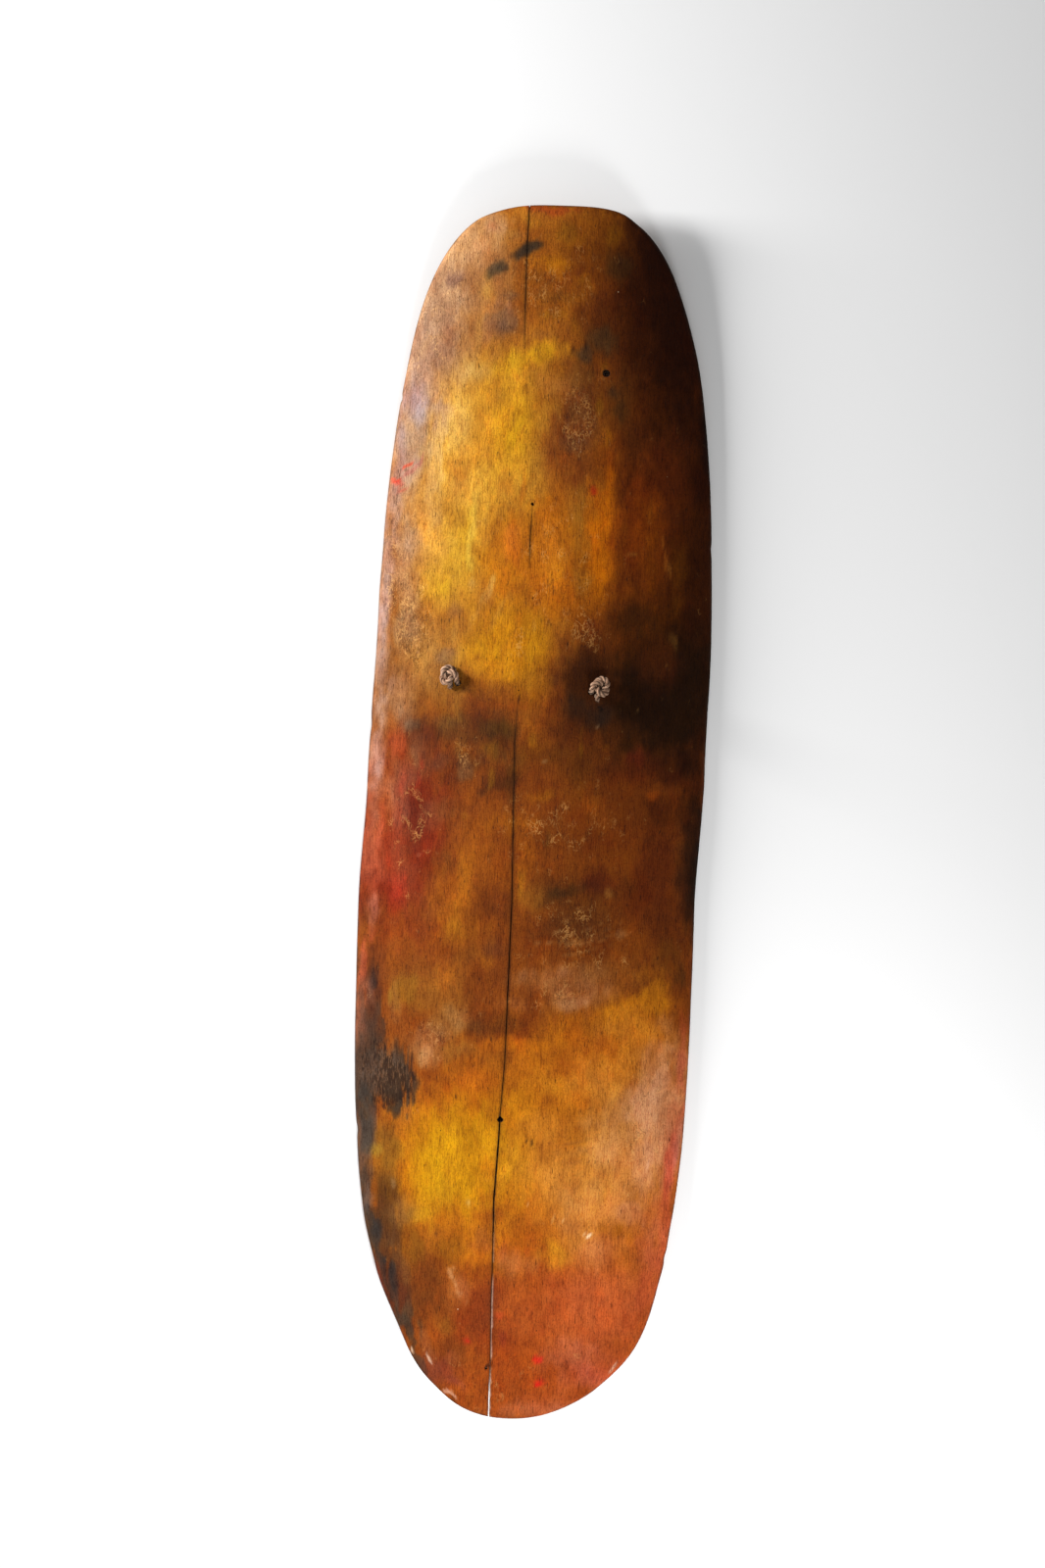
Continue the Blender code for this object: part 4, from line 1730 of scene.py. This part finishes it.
    def colour(self, mesh: bpy.types.Mesh) -> None:
        """Lays the old paint on the front and round the rim, and leaves the back in bare brown wood.

        Args:
            mesh: The board's mesh with its cracks and holes.
        """
        places = np.empty(len(mesh.vertices) * 3)
        mesh.vertices.foreach_get("co", places)
        x, y, z = places.reshape(-1, 3).T
        below = (self.shape.front(x, np.clip(y, -TIP, TIP)) - z) / MM
        below = below + 1.6 * lattice_noise(x / 0.011 + y / 0.013, y / 0.01 - x / 0.02, 33)
        plain = smooth_step(below, 5.5, 9.5)
        edge = smooth_step(below, 1.2, 4.5) * (1 - plain)
        colour = OLD_PAINT.colour_at(x, y)
        # Painted shade: the paint darkens beside the crack, along its lower run, at its upper end and round
        # its wide place at y = 0.335.
        from_crack = x - self.crack_line(y)
        stain = 0.55 * np.exp(-np.abs(from_crack) / (1.3 * MM))
        below_peg = np.exp(-(((y - 0.335) / 0.03) ** 2))
        stain *= smooth_step(-y, -0.15, -0.09) + smooth_step(y, 0.54, 0.64) + below_peg
        colour *= 1 - stain[:, None]
        # Painted light: a pale line along the right side of the crack's lower part stands in for light
        # showing through the split.
        crack_light = (from_crack > 0) * (from_crack < 1.5 * MM) * smooth_step(-y, 0.47, 0.6)
        crack_light = crack_light * smooth_step(lattice_noise(y / 0.017, y * 0, 34), -0.75, -0.2)
        colour += 0.85 * crack_light[:, None] * (coded("b09484") - colour)
        colour *= 1 - 0.3 * edge[:, None]
        colour += plain[:, None] * (BARE_BACK.colour_at(x, y) - colour)
        set_colours(mesh, "paint", linear(colour))
        rubbed = RUBBED_PLACES.colour_at(x, y)[:, 0] * (1 - plain) + 0.12 * edge
        grimed = GRIMY_PLACES.colour_at(x, y)[:, 0] * (1 - plain) + 0.3 * plain
        set_colours(mesh, "condition", np.stack([plain, rubbed, grimed], 1))

    def build(self) -> bpy.types.Object:
        """Makes the board's finished mesh and dresses it.

        Returns:
            The board's object.
        """
        board = bpy.data.objects.new("painted_board", self.whole_mesh())
        bpy.context.scene.collection.objects.link(board)
        bare = SHADED_SPLIT_WOOD.material()
        board.data.materials.append(RUBBED_PAINT.material())
        cutters = [self.crack_cutter(self.lower_crack), self.crack_cutter(self.upper_crack)]
        cutters += [self.bore_cutter(bore) for bore in self.bores]
        self.cut(board, cutters, bare)
        self.colour(board.data)
        board.data.shade_smooth()
        board.data.set_sharp_from_angle(angle=math.radians(50))
        return board


@dataclass(frozen=True)
class Knot:
    """One end knot of the rope: its place, mirroring, turn in degrees and how far its tail runs on."""

    place: tuple[float, float]
    mirror: int
    turn: float
    tail: float


@dataclass(frozen=True)
class RopeHandle:
    """The laid rope: knotted in front of the board, down through two holes and across the hollow back.

    The knot's own sizes are in rope radii.
    """

    shape: BoardShape
    left: Knot = Knot((-0.1099, 0.1642), 1, -20, 0.8)
    right: Knot = Knot((0.0735, 0.1565), -1, -9, 1.6)
    radius: float = 3 * MM
    clearance: float = 0.3 * MM
    ring: float = 2.35
    wrap: float = 1.05
    lift: float = 1.15
    knot_points_count: int = 28
    end_angle: float = math.radians(325)
    tail: tuple[tuple[float, float, float], ...] = ((1.35, -2.75, -1.15), (1.7, -4.1, -1.15))
    plunge: tuple[tuple[float, float, float], ...] = ((3.65, -1.1, -0.9), (3.75, -1.65, -2.4))
    grip: tuple[tuple[float, float, float], ...] = (
        (-0.1, 0.1557, 0.0205),
        (-0.091, 0.1556, 0.0126),
        (-0.072, 0.1552, 0.0091),
        (-0.046, 0.1545, 0.0079),
        (-0.019, 0.1535, 0.0076),
        (0.009, 0.1524, 0.0079),
        (0.035, 0.1514, 0.0092),
        (0.0535, 0.1504, 0.0132),
        (0.062, 0.15, 0.0225),
    )
    knot_swell: float = 0.3
    knot_run: float = 0.13
    strand_turn: float = 19 * MM
    strand_offset: float = 0.53
    strand_radius: float = 0.46
    groove_floor: float = 0.76
    spacing: float = 0.85 * MM
    around: int = 30
    frays: int = 12
    strays: int = 40
    hair_steps: int = 6
    hair_sides: int = 3
    hair_gap: float = 0.6 * MM
    highest: float = 0.0723

    def knot_frame(self, knot: Knot) -> Matrix:
        """A frame in rope radii, level with the board's front and high enough for the knot to lie on it.

        Args:
            knot: The knot.

        Returns:
            A matrix that turns rope radii in the knot into metres on the board.
        """
        step = 0.001
        x, y = knot.place
        front = self.shape.front
        slopes = []
        for i, j in ((step, 0), (0, step)):
            ahead = front(np.array(x + i), np.array(y + j))
            behind = front(np.array(x - i), np.array(y - j))
            slopes.append(float(ahead - behind) / (2 * step))
        slope_x, slope_y = slopes
        normal = Vector((-slope_x, -slope_y, 1)).normalized()
        across = Vector((1, 0, slope_x)).normalized()
        along = normal.cross(across)
        origin = Vector((x, y, float(front(np.array(x), np.array(y)))))
        origin += normal * ((self.lift + 1) * self.radius + 2 * self.clearance)
        axes = (across * knot.mirror * self.radius, along * self.radius, normal * self.radius)
        turned = Matrix.Rotation(math.radians(knot.turn), 4, "Z")
        return Matrix.Translation(origin) @ Matrix(axes).transposed().to_4x4() @ turned

    def knot_points(self, knot: Knot) -> list[Vector]:
        """An overhand knot from its tail to where it dives into its hole.

        Args:
            knot: The knot.

        Returns:
            Points of the rope's middle line.
        """
        frame = self.knot_frame(knot)
        points = [Vector(self.tail[-1]) - Vector((0, knot.tail, 0))]
        points += [Vector(point) for point in reversed(self.tail)]
        for angle in np.linspace(self.end_angle, 0, self.knot_points_count + 1):
            reach = self.ring + self.wrap * math.cos(3 * angle)
            rise = self.lift * math.sin(3 * angle)
            points.append(Vector((reach * math.cos(2 * angle), reach * math.sin(2 * angle), rise)))
        points += [Vector(point) for point in self.plunge]
        return [frame @ point for point in points]

    def hole_points(self, knot: Knot) -> list[Vector]:
        """The rope's way down through its hole, from under the front face to below the back face.

        Args:
            knot: The knot.

        Returns:
            Two points of the rope's middle line.
        """
        below = self.knot_frame(knot) @ Vector(self.plunge[-1])
        place = np.array(below.x), np.array(below.y)
        top, under = float(self.shape.front(*place)), float(self.shape.back(*place))
        return [Vector((below.x, below.y, top - 4 * MM)), Vector((below.x, below.y, under + 1 * MM))]

    def route(self) -> Array:
        """The rope's middle line from one tail to the other, in even steps.

        Returns:
            Its points, one to a row.
        """
        points = self.knot_points(self.left) + self.hole_points(self.left)
        points += [Vector(point) for point in self.grip]
        points += self.hole_points(self.right)[::-1] + self.knot_points(self.right)[::-1]
        fine = []
        padded = [2 * points[0] - points[1], *points, 2 * points[-1] - points[-2]]
        for before, start, end, after in zip(padded, padded[1:], padded[2:], padded[3:]):
            for t in np.linspace(0, 1, 13)[:-1]:
                leave = (end - before) / 2
                arrive = (after - start) / 2
                place = (2 * t**3 - 3 * t**2 + 1) * start + (3 * t**2 - 2 * t**3) * end
                fine.append(place + (t**3 - 2 * t**2 + t) * leave + (t**3 - t**2) * arrive)
        line = np.array([*fine, points[-1]])
        reach = np.concatenate([[0], np.cumsum(np.linalg.norm(np.diff(line, axis=0), axis=1))])
        places = np.linspace(0, reach[-1], round(reach[-1] / self.spacing) + 1)
        return np.stack([np.interp(places, reach, line[:, axis]) for axis in range(3)], 1)

    @staticmethod
    def frames(line: Array) -> tuple[Array, Array, Array]:
        """Directions along, across and beside the line, carried along it without twist.

        Args:
            line: Points of the rope's middle line.

        Returns:
            The three directions at each point.
        """
        along = np.gradient(line, axis=0)
        along /= np.linalg.norm(along, axis=1)[:, None]
        across = np.zeros_like(along)
        current = np.array([0.0, 0.0, 1.0])
        for number, direction in enumerate(along):
            current = current - direction * (current @ direction)
            current /= np.linalg.norm(current)
            across[number] = current
        return along, across, np.cross(along, across)

    def profile(self, angle: Array) -> Array:
        """The laid rope's outline.

        Args:
            angle: Angles round the rope, turning with its strands.

        Returns:
            How far the outline lies from the middle at each angle, as a share of the rope's radius.
        """
        third = 2 * math.pi / 3
        near = (angle + third / 2) % third - third / 2
        inside = self.strand_radius**2 - (self.strand_offset * np.sin(near)) ** 2
        round_strand = self.strand_offset * np.cos(near) + np.sqrt(np.maximum(inside, 0))
        return np.maximum(round_strand, self.groove_floor)

    def tube(self) -> tuple[Array, Faces, Array, Array]:
        """The rope's body.

        Returns:
            Its points, its faces, each point's place in the lay (around and along), and how deep the point
            lies in a groove.
        """
        line = self.route()
        _, across, beside = self.frames(line)
        run = np.arange(len(line)) * self.spacing
        turn = np.linspace(0, 2 * math.pi, self.around, endpoint=False)
        twist = 2 * math.pi * run / self.strand_turn + 0.6 * lattice_noise(run / 0.03, run * 0, 51)
        angle = turn[None, :] - twist[:, None]
        shape = self.profile(angle)
        hairy = lattice_noise(angle * 2.9 % 256, np.broadcast_to((run / 0.006)[:, None], angle.shape), 52)
        thick = 1 - 0.05 * (1 + lattice_noise(run / 0.012, run * 0 + 4, 53))
        ends = np.minimum(run, run[-1] - run)
        thick *= 0.72 + 0.28 * smooth_step(ends, 0, 5 * MM)
        thick *= 1 + self.knot_swell * smooth_step(self.knot_run - ends, 0, 0.02)
        reach = self.radius * thick[:, None] * (shape - 0.03 + 0.03 * hairy)
        sideways, upwards = np.cos(turn)[None, :, None], np.sin(turn)[None, :, None]
        circle = across[:, None] * sideways + beside[:, None] * upwards
        points = (line[:, None] + circle * reach[..., None]).reshape(-1, 3)
        number = np.arange(len(points)).reshape(len(line), self.around)
        ahead = np.roll(number, -1, 1)
        quads = np.stack([number[:-1], ahead[:-1], ahead[1:], number[1:]], -1).reshape(-1, 4)
        faces = [tuple(face) for face in quads.tolist()]
        faces += [tuple(number[0, ::-1].tolist()), tuple(number[-1].tolist())]
        lay = np.stack([angle * self.radius, np.broadcast_to(run[:, None], angle.shape)], -1).reshape(-1, 2)
        return points, faces, lay, (1 - shape).reshape(-1)

    def fibre(self, start: Vector, way: Vector, length: float, random: Any) -> tuple[Array, Faces]:
        """One loose fibre, bent and tapering.

        Args:
            start: Where it leaves the rope.
            way: Which way it sets out.
            length: How long it is.
            random: Source of its bends.

        Returns:
            Its points and faces.
        """
        steps, sides = self.hair_steps, self.hair_sides
        place, heading = Vector(start), Vector(way).normalized()
        curl = Vector(random.normal(0, 0.32, 3))
        rings = []
        for step in range(steps + 1):
            side = heading.orthogonal().normalized()
            other = heading.cross(side)
            thick = (0.17 - 0.11 * step / steps) * MM
            turns = [2 * math.pi * corner / sides for corner in range(sides)]
            rings += [place + thick * (side * math.cos(turn) + other * math.sin(turn)) for turn in turns]
            heading = (heading + curl / steps * 2 + Vector(random.normal(0, 0.1, 3))).normalized()
            place = place + heading * length / steps
        faces = [tuple(range(sides))[::-1], tuple(steps * sides + corner for corner in range(sides))]
        for step in range(steps):
            for corner in range(sides):
                low, after = step * sides + corner, step * sides + (corner + 1) % sides
                faces.append((low, after, after + sides, low + sides))
        return np.array(rings), faces

    def loose_fibres(self) -> list[tuple[Array, Faces]]:
        """The frayed ends of both tails, and the stray fibres of both knots.

        Returns:
            Each fibre's points and faces.
        """
        line = self.route()
        along, across, beside = self.frames(line)
        random = np.random.default_rng(54)
        fibres = []
        for end, sign in ((0, -1), (len(line) - 1, 1)):
            for _ in range(self.frays):
                turn = random.uniform(0, 2 * math.pi)
                out = across[end] * math.cos(turn) + beside[end] * math.sin(turn)
                start = line[end] + out * self.radius * random.uniform(0.1, 0.65) - sign * along[end] * MM
                way = sign * along[end] + out * random.uniform(0.1, 0.6)
                fibres.append(self.fibre(start, way, random.uniform(2, 5) * MM, random))
        knot_rings = round(self.knot_run / self.spacing)
        for number in range(self.strays):
            ring = random.integers(2, knot_rings)
            ring = ring if number % 2 else len(line) - 1 - ring
            turn = random.uniform(0, 2 * math.pi)
            out = across[ring] * math.cos(turn) + beside[ring] * math.sin(turn)
            way = along[ring] * random.choice((-1, 1)) + out * random.uniform(0.15, 0.9)
            start = line[ring] + out * self.radius * 0.8
            fibres.append(self.fibre(start, way, random.uniform(2, 6) * MM, random))
        return fibres

    def lift_hairs(self, hairs: Array) -> None:
        """Lifts the rings of loose fibres that would lie just under the board's front onto it.

        Args:
            hairs: The rings' points, changed in place.
        """
        front = self.shape.front(hairs[..., 0], hairs[..., 1]) + self.hair_gap
        sunk = (front - hairs[..., 2]).max(1)
        hairs[..., 2] += np.where((sunk > 0) & (sunk < self.radius), sunk, 0)[:, None]

    def build(self) -> bpy.types.Object:
        """Makes the rope's mesh and dresses it.

        Returns:
            The rope's object.
        """
        points, faces, lay, groove = self.tube()
        all_points, count = [points], len(points)
        for fibre_points, fibre_faces in self.loose_fibres():
            faces += [tuple(number + count for number in face) for face in fibre_faces]
            all_points.append(fibre_points)
            count += len(fibre_points)
        every = np.concatenate(all_points)
        self.lift_hairs(every[len(points) :].reshape(-1, self.hair_sides, 3))
        every[:, 2] = np.minimum(every[:, 2], self.highest)
        mesh = bpy.data.meshes.new("fibre_rope")
        mesh.from_pydata(every.tolist(), [], faces)
        spare = count - len(points)
        lay = np.concatenate([lay, every[len(points) :, :2]])
        groove = np.concatenate([groove, np.zeros(spare)])
        corner = np.empty(len(mesh.loops), dtype=np.int32)
        mesh.loops.foreach_get("vertex_index", corner)
        places = lay[corner].reshape(-1)
        mesh.uv_layers.new(name="lay").data.foreach_set("uv", places.astype(np.float32))
        dusty = 0.5 + 0.5 * lattice_noise(every[:, 0] / 0.006, every[:, 1] / 0.006, 55)
        colour = coded("b8947a") * (1 - 0.6 * dusty[:, None]) + coded("6c4630") * 0.6 * dusty[:, None]
        # Painted shade: the rope is darker the nearer it lies to the board's front, and a little darker all
        # along where it runs through and under the board.
        above = every[:, 2] - self.shape.front(every[:, 0], every[:, 1])
        colour *= (0.3 + 0.7 * smooth_step(np.where(above > 0, above, 6 * MM), 2 * MM, 8.5 * MM))[:, None]
        set_colours(mesh, "paint", linear(colour))
        # Painted shade: the deeper a point lies in a groove of the lay, the darker the rope's material draws
        # it.
        deep = smooth_step(groove, 0.03, 0.36)
        set_colours(mesh, "condition", np.stack([groove * 0, groove * 0, deep], 1))
        mesh.materials.append(LAID_ROPE.material())
        rope = bpy.data.objects.new("fibre_rope", mesh)
        bpy.context.scene.collection.objects.link(rope)
        mesh.shade_smooth()
        return rope


@dataclass(frozen=True)
class Lamp:
    """A soft rectangular light: its place, what it points at, its width and height, power and spread."""

    name: str
    place: tuple[float, float, float]
    aim: tuple[float, float, float]
    size: tuple[float, float]
    energy: float
    spread: float = math.pi


@dataclass(frozen=True)
class Studio:
    """The camera, the soft lights and the pale floor."""

    lens: float = 90.0
    sensor: float = 36.0
    view_height: float = 1.9403
    roll: float = math.radians(1.976)
    aim: tuple[float, float] = (-0.0158, 0.0346)
    surround: float = 0.3
    lamps: tuple[Lamp, ...] = (
        Lamp("window", (-2.3, 0.95, 0.74), (0.1, 0.25, 0), (0.6, 0.9), 139),
        Lamp("glow", (0.7, -1.9, 1.5), (0.1, -0.75, 0), (0.8, 0.8), 9.3, math.radians(70)),
    )

    def build(self) -> None:
        """Sets up the whole studio."""
        self.add_camera()
        self.add_lights()
        self.add_floor()

    def add_camera(self) -> None:
        """A long lens straight above the shield, turned a little so that the shield leans to the right."""
        data = bpy.data.cameras.new("camera")
        data.lens = self.lens
        data.sensor_width = self.sensor
        data.clip_end = 50
        camera = bpy.data.objects.new("camera", data)
        turn = Matrix.Rotation(self.roll, 3, "Z")
        aim = turn @ Vector((*self.aim, 0))
        distance = self.view_height * self.lens / self.sensor
        camera.location = (aim.x, aim.y, 0.03 + distance)
        camera.rotation_euler = (0, 0, self.roll)
        bpy.context.scene.collection.objects.link(camera)
        bpy.context.scene.camera = camera

    def add_lights(self) -> None:
        """A soft window low on the left, a weak one beyond the lower end, and an even pale surround."""
        world = bpy.data.worlds.new("surround")
        world.use_nodes = True
        background = world.node_tree.nodes["Background"]
        background.inputs["Color"].default_value = (1, 1, 1, 1)
        background.inputs["Strength"].default_value = self.surround
        bpy.context.scene.world = world
        for lamp in self.lamps:
            light = bpy.data.lights.new(lamp.name, "AREA")
            light.shape = "RECTANGLE"
            light.size, light.size_y = lamp.size
            light.energy = lamp.energy
            light.spread = lamp.spread
            source = bpy.data.objects.new(lamp.name, light)
            source.location = lamp.place
            beam = Vector(lamp.aim) - Vector(lamp.place)
            source.rotation_euler = beam.to_track_quat("-Z", "Y").to_euler()
            bpy.context.scene.collection.objects.link(source)
        bpy.context.scene.view_settings.view_transform = "Standard"

    def add_floor(self) -> None:
        """A broad white floor."""
        made = bmesh.new()
        bmesh.ops.create_grid(made, x_segments=1, y_segments=1, size=6)
        mesh = bpy.data.meshes.new("floor")
        made.to_mesh(mesh)
        made.free()
        floor = bpy.data.objects.new("floor", mesh)
        bpy.context.scene.collection.objects.link(floor)
        material = bpy.data.materials.new("white paper sweep")
        material.use_nodes = True
        shader = material.node_tree.nodes["Principled BSDF"]
        shader.inputs["Base Color"].default_value = (*linear(coded("f0f0f0")), 1)
        shader.inputs["Roughness"].default_value = 0.9
        mesh.materials.append(material)


def main() -> None:
    """Builds the pieces in order, dresses them and sets the scene round them."""
    logging.basicConfig(level=logging.INFO, format="%(message)s")
    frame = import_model()
    Studio().build()
    shape = BoardShape()
    bores = (
        Bore("hanging_hole", 0.0692, 0.5433, 4 * MM, None, 1.2 * MM),
        Bore("nail_hole", -0.0369, -0.687, 1.5 * MM),
        Bore("crack_end", -0.0305, -0.379, 2.9 * MM, None, 0.6 * MM, 0.3),
        Bore("peg_hole", -0.0167, 0.3784, 1.9 * MM, 7 * MM, 0.3 * MM, 0.2),
        Bore("worm_hole", -0.0258, 0.1489, 0.9 * MM, 4 * MM),
        Bore("left_cord_hole", -0.1014, 0.1557, 3.6 * MM, None, 0.5 * MM),
        Bore("right_cord_hole", 0.0633, 0.1499, 3.6 * MM, None, 0.5 * MM),
    )
    board = ShieldBoard(shape, bores).build()
    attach(board, "root")
    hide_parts("shield_board")
    rope = RopeHandle(shape).build()
    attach(rope, "root")
    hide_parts("handle_cord")
    for piece in (board, rope):
        count = sum(len(face.vertices) - 2 for face in piece.data.polygons)
        LOG.info("%s: %d triangles", piece.name, count)


if __name__ == "__main__":
    main()
